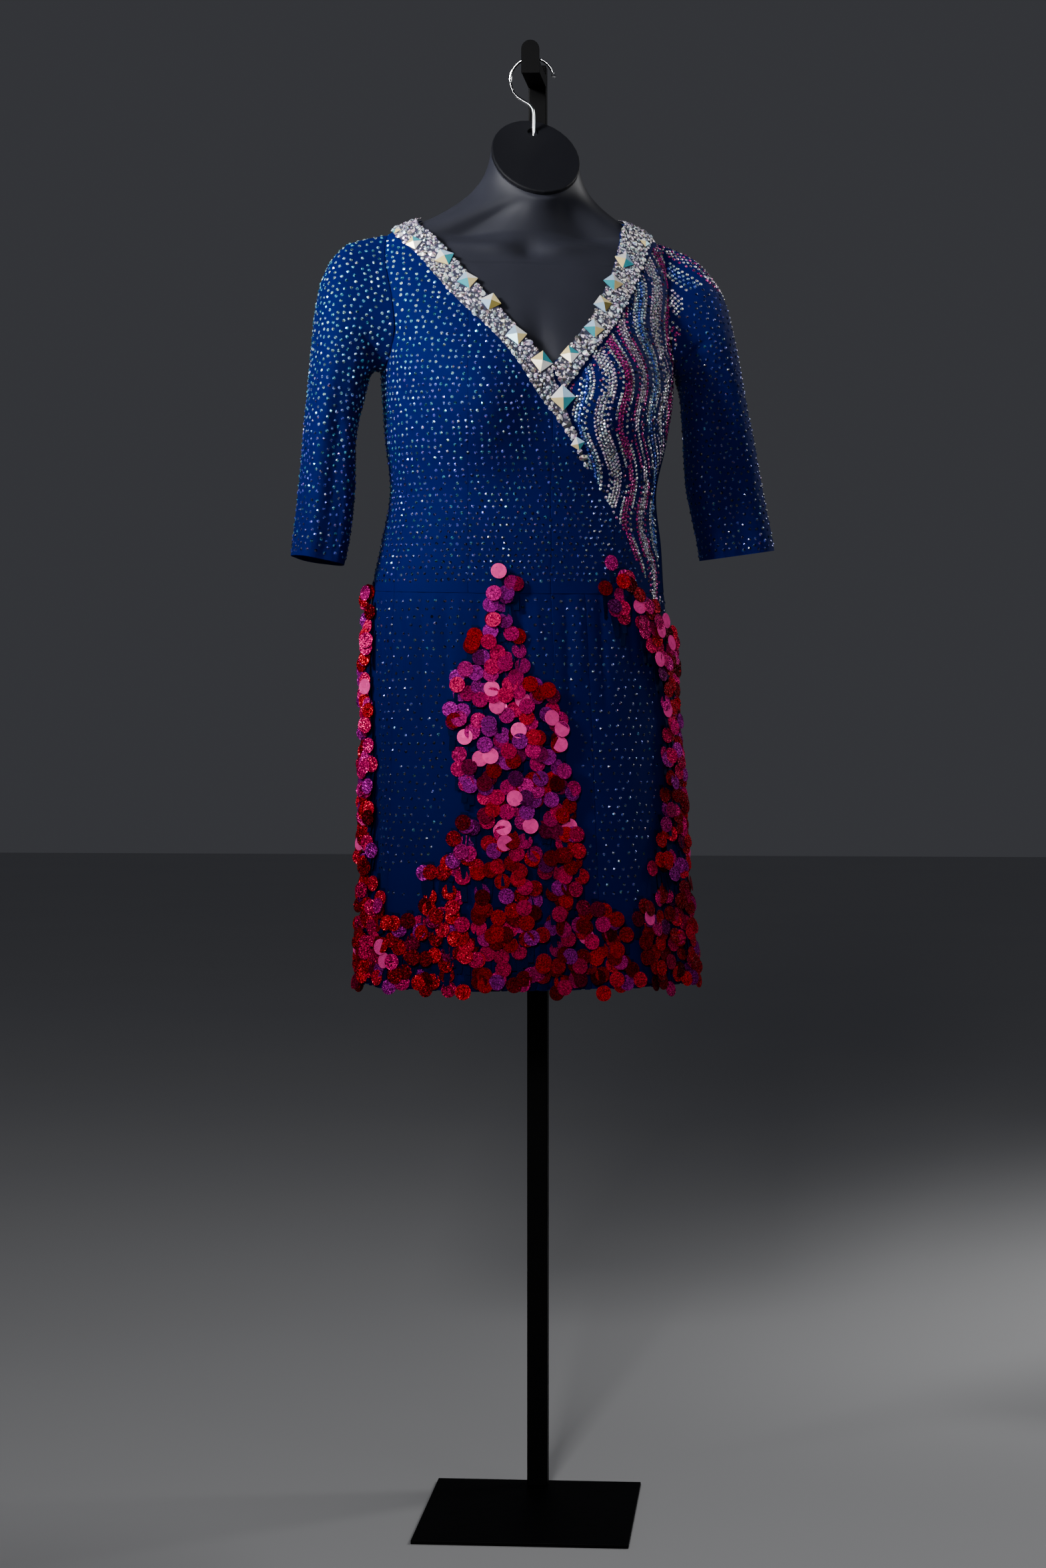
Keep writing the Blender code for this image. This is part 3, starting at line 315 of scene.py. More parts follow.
def to_frame(points: Array) -> Array:
    """Points of the turned form in the frame's axes."""
    c, s = math.cos(FORM_TURN), math.sin(FORM_TURN)
    x, y, z = points[..., 0], points[..., 1], points[..., 2]
    return np.stack([FORM_X + c * x - s * y, FORM_Y + s * x + c * y, z], axis=-1)


def turned(directions: Array) -> Array:
    """Directions of the turned form in the frame's axes."""
    return to_frame(directions) - to_frame(np.zeros(3))


def run_lengths(steps: Array) -> Array:
    """Steps along the first axis, added up from nothing."""
    return np.concatenate([np.zeros((1, *steps.shape[1:])), np.cumsum(steps, axis=0)])


def soft_creases(table: Table, u: Array, v: Array, u_size: float, v_size: float) -> Array:
    """Depth of a table's soft creases.

    Args:
        table: the creases' two ends, half width and depth.
        u: turn, or the place round a sleeve, in degrees.
        v: height, or the ring of a sleeve.
        u_size: length of one degree.
        v_size: length of one step of v.

    Returns:
        How far the cloth stands out at each place.
    """
    out = np.zeros(np.broadcast(u, v).shape)
    for u0, v0, u1, v1, wide, depth in table.rows:
        bx, by = (u1 - u0) * u_size, (v1 - v0) * v_size
        px, py = wrapped(u - u0) * u_size, (v - v0) * v_size
        share = np.clip((px * bx + py * by) / (bx * bx + by * by), 0, 1)
        away = (px - share * bx) ** 2 + (py - share * by) ** 2
        out = out + depth * np.exp(-away / wide**2) * (1.0 - 0.6 * (2 * share - 1) ** 2)
    return out


# ---- surfaces of the dress ----
def body(turn: Array, z: Array) -> Array:
    """Points of the dressed body.

    Args:
        turn: turns, in degrees.
        z: heights.

    Returns:
        The points, in the form's axes.
    """
    turn, z = np.broadcast_arrays(np.asarray(turn, float), np.asarray(z, float))
    angle = np.radians(turn)
    half, front, back, cx, cy = (BODY.at("z", name, z) for name in BODY.names[1:])
    full = 1.0 + SQUARE * np.sin(2 * angle) ** 2
    x = half * np.cos(angle) * full
    y = -np.where(np.sin(angle) > 0, front, back) * np.sin(angle) * full
    tall = np.exp(-(((z - BUST_Z) / BUST_TALL) ** 2))
    lobes = np.exp(-(((x - BUST_X) / BUST_WIDE) ** 2)) + np.exp(-(((x + BUST_X) / BUST_WIDE) ** 2))
    y = y - BUST_OUT * tall * lobes * np.clip(np.sin(angle), 0, 1) ** 0.5
    return np.stack([cx + x, cy + y, z], axis=-1)


def body_out(turn: Array, z: Array) -> Array:
    """Unit normals of the body, pointing out."""
    across = body(turn + 0.02, z) - body(turn - 0.02, z)
    up = body(turn, z + 0.0005) - body(turn, z - 0.0005)
    return unit(np.cross(up, across))


def raised(turn: Array, z: Array, lift: Lift = 0.0) -> Array:
    """The body's surface, moved out by a lift, in the frame's axes."""
    turn, z = np.broadcast_arrays(np.asarray(turn, float), np.asarray(z, float))
    return to_frame(body(turn, z) + body_out(turn, z) * np.broadcast_to(lift, turn.shape)[..., None])


def raised_out(turn: Array, z: Array) -> Array:
    """Unit normals of the body, in the frame's axes."""
    return turned(body_out(turn, z))


def bodice(turn: Array, z: Array, lift: Lift = 0.0) -> Array:
    """The bodice cloth with its creases, moved out by a lift."""
    return raised(turn, z, lift + soft_creases(BODICE_CREASES, turn, z, DEGREE, 1.0))


def skirt(turn: Array, z: Array, lift: Lift = 0.0) -> Array:
    """The skirt cloth with its folds and gathers.

    Args:
        turn: turns, in degrees.
        z: heights.
        lift: how far the surface is moved out.

    Returns:
        The points, in the frame's axes.
    """
    out = soft_creases(SKIRT_CREASES, turn, z, DEGREE, 1.0)
    for at, wide, depth, top in SKIRT_FOLDS.rows:
        grow = np.clip((top - np.asarray(z, float)) / (top - HEM_Z), 0, 1) ** 0.8
        out = out + depth * grow * np.exp(-((wrapped(turn - at) / wide) ** 2))
    return raised(turn, z, lift + out)


def waist_z(turn: Array) -> Array:
    """Height of the waist seam."""
    return 1.1125 - 0.0055 * np.sin(np.radians(turn))


def back_neck(top: float, share: Array) -> Line:
    """The back neck's curve up to a height: turns from the centre back, and heights."""
    return 90.0 * share**0.85, BACK_NECK_Z + (top - BACK_NECK_Z) * np.sin(share * np.pi / 2) ** 1.3


@dataclass(frozen=True)
class SleeveShape:
    """One sleeve's surface: place round it in degrees from the top by the front, and ring."""

    table: Table
    side_turn: float
    out_sign: float
    blend_rings: float = 4.0
    gap: float = 1.6 * SEAM_GAP

    def hole(self, around: Array) -> Array:
        """The armhole on the body."""
        arc = np.radians(around)
        turn = self.side_turn + self.out_sign * ARMHOLE_SPREAD * np.sin(arc)
        return body(turn, ARMHOLE_MID + ARMHOLE_TALL * np.cos(arc))

    def folds(self, around: Array, ring: Array) -> Array:
        """How far the sleeve's folds stand out."""
        fold = np.zeros(around.shape)
        for at, wide, depth, first in SLEEVE_FOLDS.rows:
            grow = np.clip((ring - first + 1) / 4, 0, 1)
            fold = fold + depth * grow * np.exp(-((wrapped(around - at) / wide) ** 2))
        return fold[..., None]

    def plain(self, around: Array, ring: Array) -> Array:
        """The sleeve without its creases.

        Args:
            around: places round it, in degrees.
            ring: rings along it, 0 at the armhole.

        Returns:
            The points, in the form's axes.
        """
        around, ring = np.broadcast_arrays(np.asarray(around, float), np.asarray(ring, float))
        top, low = self.hole(np.array(0.0)), self.hole(np.array(180.0))
        middle = (top + low) / 2
        tall = np.linalg.norm(top - middle)
        up = (top - middle) / tall
        hole = self.hole(around)
        lean = (hole - middle) @ up
        sag = (hole - middle) - lean[..., None] * up
        sag[..., 1] = 0
        keys = np.arange(len(self.table.rows), dtype=float)
        out_x, out_z, in_x, in_z, deep, cy = (smooth(keys, column, ring) for column in self.table.columns())
        blend = np.clip(ring / self.blend_rings, 0, 1)
        arc = np.radians(around)
        u = (1 - blend) * lean / tall + blend * np.cos(arc)
        side = (1 - blend) * (middle[1] - hole[..., 1]) + blend * deep * np.sin(arc)
        x, z = (out_x + in_x) / 2 + u * (out_x - in_x) / 2, (out_z + in_z) / 2 + u * (out_z - in_z) / 2
        cy = (1 - blend) * middle[1] + blend * cy
        points = np.stack([x, cy - side, z], axis=-1) + (1 - blend)[..., None] * sag
        centre = np.stack([(out_x + in_x) / 2, cy, (out_z + in_z) / 2], axis=-1)
        points = points + unit(points - centre) * self.folds(around, ring)
        start = np.clip(ring, 0, 1)[..., None]
        return (1 - start) * (hole + np.array([self.out_sign * self.gap, 0, 0])) + start * points

    def across(self, around: Array, ring: Array) -> Array:
        """Unit normals of the sleeve, on the side that the order of its axes gives."""
        low, high = np.maximum(ring - 0.02, 0), np.minimum(ring + 0.02, SLEEVE_END)
        along_it = self.plain(around, high) - self.plain(around, low)
        sideways = self.plain(around + 0.5, ring) - self.plain(around - 0.5, ring)
        return unit(np.cross(sideways, along_it))

    def out(self, around: Array, ring: Array) -> Array:
        """Unit normals of the sleeve, pointing out."""
        probe = self.across(np.array(0.0), np.array(6.0))
        return self.across(around, ring) * np.sign(probe[0] * self.out_sign)

    def cloth(self, around: Array, ring: Array, lift: Lift = 0.0) -> Array:
        """The sleeve's cloth with its creases.

        Args:
            around: places round it, in degrees.
            ring: rings along it.
            lift: how far the surface is moved out.

        Returns:
            The points, in the frame's axes.
        """
        around, ring = np.broadcast_arrays(np.asarray(around, float), np.asarray(ring, float))
        lift = lift + soft_creases(SLEEVE_CREASES, around, ring, 0.001, 0.034) * np.clip(ring, 0, 1)
        return to_frame(self.plain(around, ring) + self.out(around, ring) * lift[..., None])


SLEEVES = {
    "sleeve_right": SleeveShape(SLEEVE_R, 180.0, -1.0),
    "sleeve_left": SleeveShape(SLEEVE_L, 0.0, 1.0),
}


# ---- meshes ----
def linked(obj: Object) -> Object:
    """Links an object to the scene."""
    bpy.context.scene.collection.objects.link(obj)
    return obj


def mesh_object(name: str, points: Array, corners: Array, sizes: Array) -> Object:
    """An object made from arrays.

    Args:
        name: the piece's name.
        points: its points, one row each.
        corners: the point of each corner of each face, in order.
        sizes: the number of corners of each face.

    Returns:
        The object, linked to the scene.
    """
    mesh = bpy.data.meshes.new(name)
    mesh.vertices.add(len(points))
    mesh.vertices.foreach_set("co", np.ascontiguousarray(points, np.float32).ravel())
    mesh.loops.add(len(corners))
    mesh.loops.foreach_set("vertex_index", np.ascontiguousarray(corners, np.int32))
    mesh.polygons.add(len(sizes))
    starts = np.concatenate([[0], np.cumsum(sizes)[:-1]]).astype(np.int32)
    mesh.polygons.foreach_set("loop_start", starts)
    mesh.update(calc_edges=True)
    return linked(bpy.data.objects.new(name, mesh))


def smoothed(obj: Object, sharp: float, uv: Array | None = None) -> Object:
    """Shades a mesh smoothly.

    Args:
        obj: the mesh's object.
        sharp: the angle between faces, in degrees, over which an edge stays sharp.
        uv: its UV map in metres of cloth, one row a corner.

    Returns:
        The same object.
    """
    if uv is not None:
        layer = obj.data.uv_layers.new(name="cloth")
        layer.data.foreach_set("uv", np.ascontiguousarray(uv, np.float32).ravel())
    obj.data.shade_smooth()
    obj.data.set_sharp_from_angle(angle=math.radians(sharp))
    return obj


def grid_quads(rows: int, cols: int, closed: bool) -> tuple[Array, Array]:
    """The faces of a thin wall between two grids.

    Args:
        rows: rows of each grid.
        cols: columns of each grid.
        closed: whether the last column joins the first.

    Returns:
        The quads of the outer face, and those of the inner face and the rims.
    """
    index = np.arange(rows * cols).reshape(rows, cols)
    ahead = np.roll(index, -1, axis=1) if closed else index[:, 1:]
    here = index if closed else index[:, :-1]
    outer = np.stack([here[:-1], ahead[:-1], ahead[1:], here[1:]], axis=-1).reshape(-1, 4)
    under = rows * cols
    edges = [np.stack([here[0], ahead[0]], -1), np.stack([ahead[-1], here[-1]], -1)]
    if not closed:
        edges.append(np.stack([index[:-1, -1], index[1:, -1]], -1))
        edges.append(np.stack([index[1:, 0], index[:-1, 0]], -1))
    rim = np.concatenate(edges)
    rims = np.stack([rim[:, 1], rim[:, 0], rim[:, 0] + under, rim[:, 1] + under], axis=-1)
    return outer, np.concatenate([outer[:, ::-1] + under, rims])


def turned_out(outer_points: Array, inner_points: Array, quads: Array) -> bool:
    """Whether a grid's quads face away from its inner points."""
    a, b, d = (outer_points[quads[:, k]] for k in (0, 1, 3))
    away = outer_points[quads[:, 0]] - inner_points[quads[:, 0]]
    return float((np.cross(b - a, d - a) * away).sum()) > 0


@dataclass
class Cloth:
    """A thin shell of cloth between an outer and an inner grid of points."""

    name: str
    outer: Array
    inner: Array
    closed: bool = False

    def lengths(self, axis: int) -> Array:
        """Lengths along the grid's rows (1) or columns (0), added up from the first point."""
        points = self.outer
        if self.closed and axis == 1:
            points = np.concatenate([points, points[:, :1]], axis=1)
        step = np.linalg.norm(np.diff(points, axis=axis), axis=-1)
        return run_lengths(step) if axis == 0 else run_lengths(step.T).T

    def build(self) -> Object:
        """Builds the shell, with a UV map in metres of cloth."""
        rows, cols = self.outer.shape[:2]
        outer, rest = grid_quads(rows, cols, self.closed)
        points, under = self.outer.reshape(-1, 3), self.inner.reshape(-1, 3)
        quads = np.concatenate([outer, rest])
        across, down = self.lengths(1), self.lengths(0)
        if self.closed:
            down = np.concatenate([down, down[:, :1]], axis=1)
        place = np.stack([across, down], axis=-1)
        uv = place[:, :cols].reshape(-1, 2)[quads % (rows * cols)]
        face_uv = np.stack([place[:-1, :-1], place[:-1, 1:], place[1:, 1:], place[1:, :-1]], axis=2)
        face_uv = face_uv.reshape(-1, 4, 2)
        uv[: len(outer)] = face_uv
        uv[len(outer) : 2 * len(outer)] = face_uv[:, ::-1]
        if not turned_out(points, under, outer):
            quads, uv = quads[:, ::-1], uv[:, ::-1]
        obj = mesh_object(self.name, np.concatenate([points, under]), quads.ravel(), np.full(len(quads), 4))
        return smoothed(obj, 55.0, uv)

    def flat(self) -> tuple[float, float]:
        """Width and length of the cut that the shell is made of, in metres."""
        return float(self.lengths(1)[:, -1].max()), float(self.lengths(0)[-1].max())

    def area(self) -> float:
        """Area of the cut, in square metres."""
        width, length = self.flat()
        points = self.outer.reshape(-1, 3)
        quads = grid_quads(*self.outer.shape[:2], self.closed)[0]
        a, b, c, d = (points[quads[:, k]] for k in range(4))
        area = 0.5 * np.linalg.norm(np.cross(c - a, d - b), axis=1).sum()
        return float(min(area, width * length))


@dataclass(frozen=True)
class Cut:
    """The solid of a stone or a disc: rings from the back up, in units of its radius."""

    sides: int
    rings: tuple[tuple[float, float], ...]

    def solid(self) -> tuple[Array, Array, Array]:
        """Points, corners and face sizes of one piece."""
        turn = 2 * np.pi * (np.arange(self.sides) + 0.5) / self.sides
        points = [[r * math.cos(t), r * math.sin(t), h] for r, h in self.rings for t in turn]
        ahead = (np.arange(self.sides) + 1) % self.sides
        here = np.arange(self.sides)
        corners, sizes = list(here[::-1]), [self.sides]
        for level in range(len(self.rings) - 1):
            low, high = level * self.sides, (level + 1) * self.sides
            quads = np.stack([here + low, ahead + low, ahead + high, here + high], axis=-1)
            corners += list(quads.ravel())
            sizes += [4] * self.sides
        corners += list(here + (len(self.rings) - 1) * self.sides)
        sizes.append(self.sides)
        return np.array(points), np.array(corners), np.array(sizes)


@dataclass
class Spots:
    """Places for small pieces: points, directions out, sizes, tints, spin and stretch."""

    points: Array
    normals: Array
    radius: Array
    tint: Array
    spin: Array
    long: Array = field(default_factory=lambda: np.ones(1))

    def each(self) -> tuple[Array, ...]:
        """The places' values, one row a place."""
        long = np.broadcast_to(self.long, self.radius.shape)
        return self.points, self.normals, self.radius, self.tint, self.spin, long

    def some(self, pick: Array) -> "Spots":
        """The places that are picked."""
        return Spots(*(values[pick] for values in self.each()))

    @staticmethod
    def merged(groups: "Sequence[Spots]") -> "Spots":
        """Several groups of places as one."""
        return Spots(*map(np.concatenate, zip(*(group.each() for group in groups))))


def joined(name: str, cut: Cut, spots: Spots, facets: Callable[[Array, int], Array]) -> Object:
    """One mesh of many equal small pieces, each facet with its own colour.

    Args:
        name: the mesh's name.
        cut: the small piece's solid.
        spots: where the pieces lie.
        facets: gives each piece's facets their colours, from the tints and the facet count.

    Returns:
        The object, with the colours in the attribute "facet".
    """
    shape, corners, sizes = cut.solid()
    count = len(spots.points)
    side = unit(np.cross(spots.normals, UP + 1e-3))
    up = np.cross(side, spots.normals)
    c, s = np.cos(spots.spin)[:, None], np.sin(spots.spin)[:, None]
    u, v = c * side + s * up, -s * side + c * up
    long = spots.each()[-1]
    wide, tall = (spots.radius * long)[:, None, None], (spots.radius / np.sqrt(long))[:, None, None]
    points = spots.points[:, None] + wide * shape[None, :, :1] * u[:, None]
    points = points + tall * shape[None, :, 1:2] * v[:, None]
    points = points + spots.radius[:, None, None] * shape[None, :, 2:] * spots.normals[:, None]
    every = (corners[None] + np.arange(count)[:, None] * len(shape)).ravel()
    all_sizes = np.tile(sizes, count)
    obj = mesh_object(name, points.reshape(-1, 3), every, all_sizes)
    colours = facets(spots.tint, len(sizes)).reshape(-1, 3)
    rgba = np.concatenate([colours, np.ones((len(colours), 1))], axis=1)
    layer = obj.data.color_attributes.new(name="facet", type="FLOAT_COLOR", domain="CORNER")
    layer.data.foreach_set("color", np.repeat(rgba, all_sizes, axis=0).astype(np.float32).ravel())
    obj.data.shade_flat()
    return obj


# ---- finishes ----
Colour = tuple[float, float, float]


@dataclass
class Tree:
    """Adds and joins the nodes of one shader tree."""

    tree: bpy.types.NodeTree

    def feed(self, node: Node, values: dict) -> Node:
        """Feeds a node's inputs.

        Args:
            node: the node.
            values: a socket or a plain value for each input, by its name or number.

        Returns:
            The same node.
        """
        for name, value in values.items():
            if isinstance(value, Socket):
                self.tree.links.new(value, node.inputs[name])
            else:
                node.inputs[name].default_value = value
        return node

    def node(self, kind: str, values: dict | None = None, **settings: object) -> Node:
        """A new node with some of its inputs and settings."""
        made = self.tree.nodes.new(f"ShaderNode{kind}")
        for name, value in settings.items():
            setattr(made, name, value)
        return self.feed(made, values or {})

    def maths(self, operation: str, *values: object) -> Socket:
        """The result of a Math node on sockets or numbers."""
        return self.node("Math", dict(enumerate(values)), operation=operation).outputs[0]

    def vector(self, operation: str, values: dict) -> Socket:
        """The result of a Vector Math node."""
        return self.node("VectorMath", values, operation=operation).outputs[0]

    def mixed(self, factor: object, a: object, b: object, blend: str = "MIX") -> Socket:
        """A mix of two colours, each a socket or a colour."""
        a, b = ((*value, 1.0) if isinstance(value, tuple) else value for value in (a, b))
        return self.node("Mix", {0: factor, 6: a, 7: b}, data_type="RGBA", blend_type=blend).outputs[2]

    def bump(self, height: Socket, strength: float, relief: float) -> Socket:
        """A normal from a height."""
        values = {"Height": height, "Strength": strength, "Distance": relief}
        return self.node("Bump", values).outputs["Normal"]


def new_group(name: str, inputs: dict[str, str], outputs: dict[str, str]) -> tuple[Tree, dict, Node]:
    """An empty shader node group.

    Args:
        name: the group's name.
        inputs: kind of socket by name.
        outputs: kind of socket by name.

    Returns:
        Its tree, its inputs as sockets to read and the node to feed its outputs to.
    """
    tree = bpy.data.node_groups.new(name, "ShaderNodeTree")
    for way, sockets in (("INPUT", inputs), ("OUTPUT", outputs)):
        for label, kind in sockets.items():
            tree.interface.new_socket(label, in_out=way, socket_type=f"NodeSocket{kind}")
    start, end = tree.nodes.new("NodeGroupInput"), tree.nodes.new("NodeGroupOutput")
    return Tree(tree), {label: start.outputs[label] for label in inputs}, end


def grain_group() -> bpy.types.NodeTree:
    """Fine moulded or sprayed grain: a height and a slow variation."""
    tree, reads, end = new_group(
        "fine_grain", {"Place": "Vector", "Scale": "Float"}, {"Height": "Float", "Slow": "Float"}
    )
    slow_scale = tree.maths("MULTIPLY", reads["Scale"], 0.02)
    for scale, detail, name in ((reads["Scale"], 3.0, "Height"), (slow_scale, 2.0, "Slow")):
        noise = tree.node("TexNoise", {"Vector": reads["Place"], "Scale": scale, "Detail": detail})
        tree.feed(end, {name: noise.outputs["Fac"]})
    return tree.tree


def knit_group() -> bpy.types.NodeTree:
    """Stretch knit: columns of loops, as a height and a painted shade that darkens the low parts between
    the loops.
    """
    tree, reads, end = new_group(
        "stretch_knit", {"Place": "Vector", "Columns": "Float"}, {"Height": "Float", "PaintedShade": "Float"}
    )
    parts = tree.node("SeparateXYZ", {0: reads["Place"]})
    x, y = (tree.maths("MULTIPLY", parts.outputs[axis], reads["Columns"]) for axis in (0, 1))
    column = tree.maths("ABSOLUTE", tree.maths("SINE", tree.maths("MULTIPLY", x, math.pi)))
    slant = tree.maths("ADD", tree.maths("MULTIPLY", y, 1.35), tree.maths("MULTIPLY", column, 0.45))
    loop = tree.maths("SINE", tree.maths("MULTIPLY", slant, 2 * math.pi))
    height = tree.maths("ADD", column, tree.maths("MULTIPLY", loop, 0.25))
    # Painted shade: lower parts of the knit are darker.
    shade = tree.maths("ADD", tree.maths("MULTIPLY", height, 0.22), 0.80)
    tree.feed(end, {"Height": height, "PaintedShade": shade})
    return tree.tree


def glitter_group() -> bpy.types.NodeTree:
    """Holographic glitter: small cells, each with its own tilt and a random brightness that the disc finish
    paints in as sparkle.
    """
    tree, reads, end = new_group(
        "glitter_cells",
        {"Place": "Vector", "Normal": "Vector", "Scale": "Float", "Tilt": "Float"},
        {"Sparkle": "Float", "Normal": "Vector", "Hue": "Float"},
    )
    cells = tree.node("TexVoronoi", {"Vector": reads["Place"], "Scale": reads["Scale"]}, feature="F1")
    middle = tree.vector("SUBTRACT", {0: cells.outputs["Color"], 1: (0.5, 0.5, 0.5)})
    tilt = tree.vector("SCALE", {0: middle, "Scale": reads["Tilt"]})
    leaned = tree.vector("ADD", {0: reads["Normal"], 1: tilt})
    parts = tree.node("SeparateColor", {0: cells.outputs["Color"]}).outputs
    normal = tree.vector("NORMALIZE", {0: leaned})
    tree.feed(end, {"Sparkle": parts[0], "Hue": parts[1], "Normal": normal})
    return tree.tree


class Effect(Enum):
    """The shader node groups that the finishes share."""

    GRAIN = "fine_grain"
    KNIT = "stretch_knit"
    GLITTER = "glitter_cells"

    def tree(self) -> bpy.types.NodeTree:
        """The group's tree, made at its first use."""
        makers = {"fine_grain": grain_group, "stretch_knit": knit_group, "glitter_cells": glitter_group}
        return bpy.data.node_groups.get(self.value) or makers[self.value]()


def place_group(tree: Tree, effect: Effect, **values: object) -> Node:
    """Places an effect in a material's tree with its own values."""
    made = tree.tree.nodes.new("ShaderNodeGroup")
    made.node_tree = effect.tree()
    return tree.feed(made, values)


def new_material(name: str) -> tuple[Material, Tree, Node]:
    """A material with its tree and its Principled shader."""
    made = bpy.data.materials.new(name)
    made.use_nodes = True
    return made, Tree(made.node_tree), made.node_tree.nodes["Principled BSDF"]


@dataclass(frozen=True)
class Finish:
    """A finish; each kind says what feeds its shader."""

    name: str

    def inputs(self, tree: Tree) -> dict:
        """What feeds the shader's inputs."""
        raise NotImplementedError(f"{self.name} has no inputs in {tree}")

    def build(self) -> Material:
        """Makes the material."""
        made, tree, shader = new_material(self.name)
        tree.feed(shader, self.inputs(tree))
        return made


@dataclass(frozen=True)
class StretchCloth(Finish):
    """Knitted stretch cloth with a soft sheen."""

    colour: Colour
    deep: Colour
    sheen: float = 0.05
    columns: float = 1400.0
    grain: float = 420.0
    roughness: float = 0.68
    wander: float = 0.14
    shine: float = 0.13
    shine_tint: Colour = (0.08, 0.28, 1.0)
    sheen_tint: Colour = (0.05, 0.2, 1.0)
    relief: float = 0.00012

    def inputs(self, tree: Tree) -> dict:
        """What feeds the shader's inputs."""
        place = tree.node("TexCoord").outputs
        knit = place_group(tree, Effect.KNIT, Place=place["UV"], Columns=self.columns).outputs
        grain = place_group(tree, Effect.GRAIN, Place=place["Object"], Scale=self.grain).outputs
        base = tree.mixed(grain["Slow"], self.deep, self.colour)
        # The knit's painted shade darkens the cloth between its loops.
        return {
            "Base Color": tree.mixed(1.0, base, knit["PaintedShade"], "MULTIPLY"),
            "Roughness": tree.maths(
                "MULTIPLY_ADD", grain["Height"], self.wander, self.roughness - self.wander / 2
            ),
            "Normal": tree.bump(knit["Height"], 0.5, self.relief),
            "Specular IOR Level": self.shine,
            "Specular Tint": (*self.shine_tint, 1.0),
            "Sheen Weight": self.sheen,
            "Sheen Roughness": 0.45,
            "Sheen Tint": (*self.sheen_tint, 1.0),
        }


@dataclass(frozen=True)
class FacetedGlass(Finish):
    """Foiled glass, coloured facet by facet."""

    metallic: float = 0.50
    roughness: float = 0.17
    coat: float = 0.14
    coat_roughness: float = 0.05
    grain: float = 900.0
    wander: float = 0.12

    def inputs(self, tree: Tree) -> dict:
        """What feeds the shader's inputs."""
        place = tree.node("TexCoord").outputs["Object"]
        grain = place_group(tree, Effect.GRAIN, Place=place, Scale=self.grain).outputs["Height"]
        return {
            "Base Color": tree.node("Attribute", attribute_name="facet").outputs["Color"],
            "Roughness": tree.maths("MULTIPLY_ADD", grain, self.wander, self.roughness - self.wander / 4),
            "Metallic": self.metallic,
            "Coat Weight": self.coat,
            "Coat Roughness": self.coat_roughness,
        }


@dataclass(frozen=True)
class DiscFilm(Finish):
    """Disc plastic: glittering film, or flat mirror film where the tilt is small, with painted sparkle in
    the base colour.
    """

    cells: float
    tilt: float
    metallic: float
    dark: float
    roughness: float
    contrast: float = 1.0
    bright: float = 1.35
    wander: float = 0.18
    shine: float = 0.06
    shine_tint: Colour = (1.0, 0.25, 0.55)

    def inputs(self, tree: Tree) -> dict:
        """What feeds the shader's inputs."""
        place, shape = tree.node("TexCoord").outputs["Object"], tree.node("NewGeometry").outputs["Normal"]
        cells = {"Scale": self.cells, "Tilt": self.tilt}
        glitter = place_group(tree, Effect.GLITTER, Place=place, Normal=shape, **cells).outputs
        # Each cell's brightness, from dark to bright, is painted into the base colour: painted sparkle
        # beside the cells' tilted normals.
        sparkle = tree.maths("POWER", glitter["Sparkle"], self.contrast)
        lit = tree.maths("MULTIPLY_ADD", sparkle, self.bright - self.dark, self.dark)
        colour = tree.node("Attribute", attribute_name="facet").outputs["Color"]
        return {
            "Base Color": tree.mixed(1.0, colour, lit, "MULTIPLY"),
            "Roughness": tree.maths("MULTIPLY_ADD", glitter["Hue"], self.wander, self.roughness),
            "Normal": glitter["Normal"],
            "Metallic": self.metallic,
            "Specular IOR Level": self.shine,
            "Specular Tint": (*self.shine_tint, 1.0),
        }


@dataclass(frozen=True)
class HardFinish(Finish):
    """Moulded plastic, powder coat or plated wire."""

    colour: Colour
    roughness: float
    metallic: float = 0.0
    grain: float = 1500.0
    relief: float = 0.00002
    wander: float = 0.10
    shine: float = 0.5
    lighter: float = 1.35

    def inputs(self, tree: Tree) -> dict:
        """What feeds the shader's inputs."""
        place = tree.node("TexCoord").outputs["Object"]
        grain = place_group(tree, Effect.GRAIN, Place=place, Scale=self.grain).outputs
        light = tuple(min(1.0, c * self.lighter) for c in self.colour)
        rough = self.roughness - self.wander / 2
        return {
            "Base Color": tree.mixed(grain["Slow"], self.colour, light),
            "Roughness": tree.maths("MULTIPLY_ADD", grain["Slow"], self.wander, rough),
            "Normal": tree.bump(grain["Height"], 0.6, self.relief),
            "Metallic": self.metallic,
            "Specular IOR Level": self.shine,
        }


def once(finish: Finish) -> Material:
    """A dataclass field that holds a finish's material."""
    return field(default_factory=finish.build)


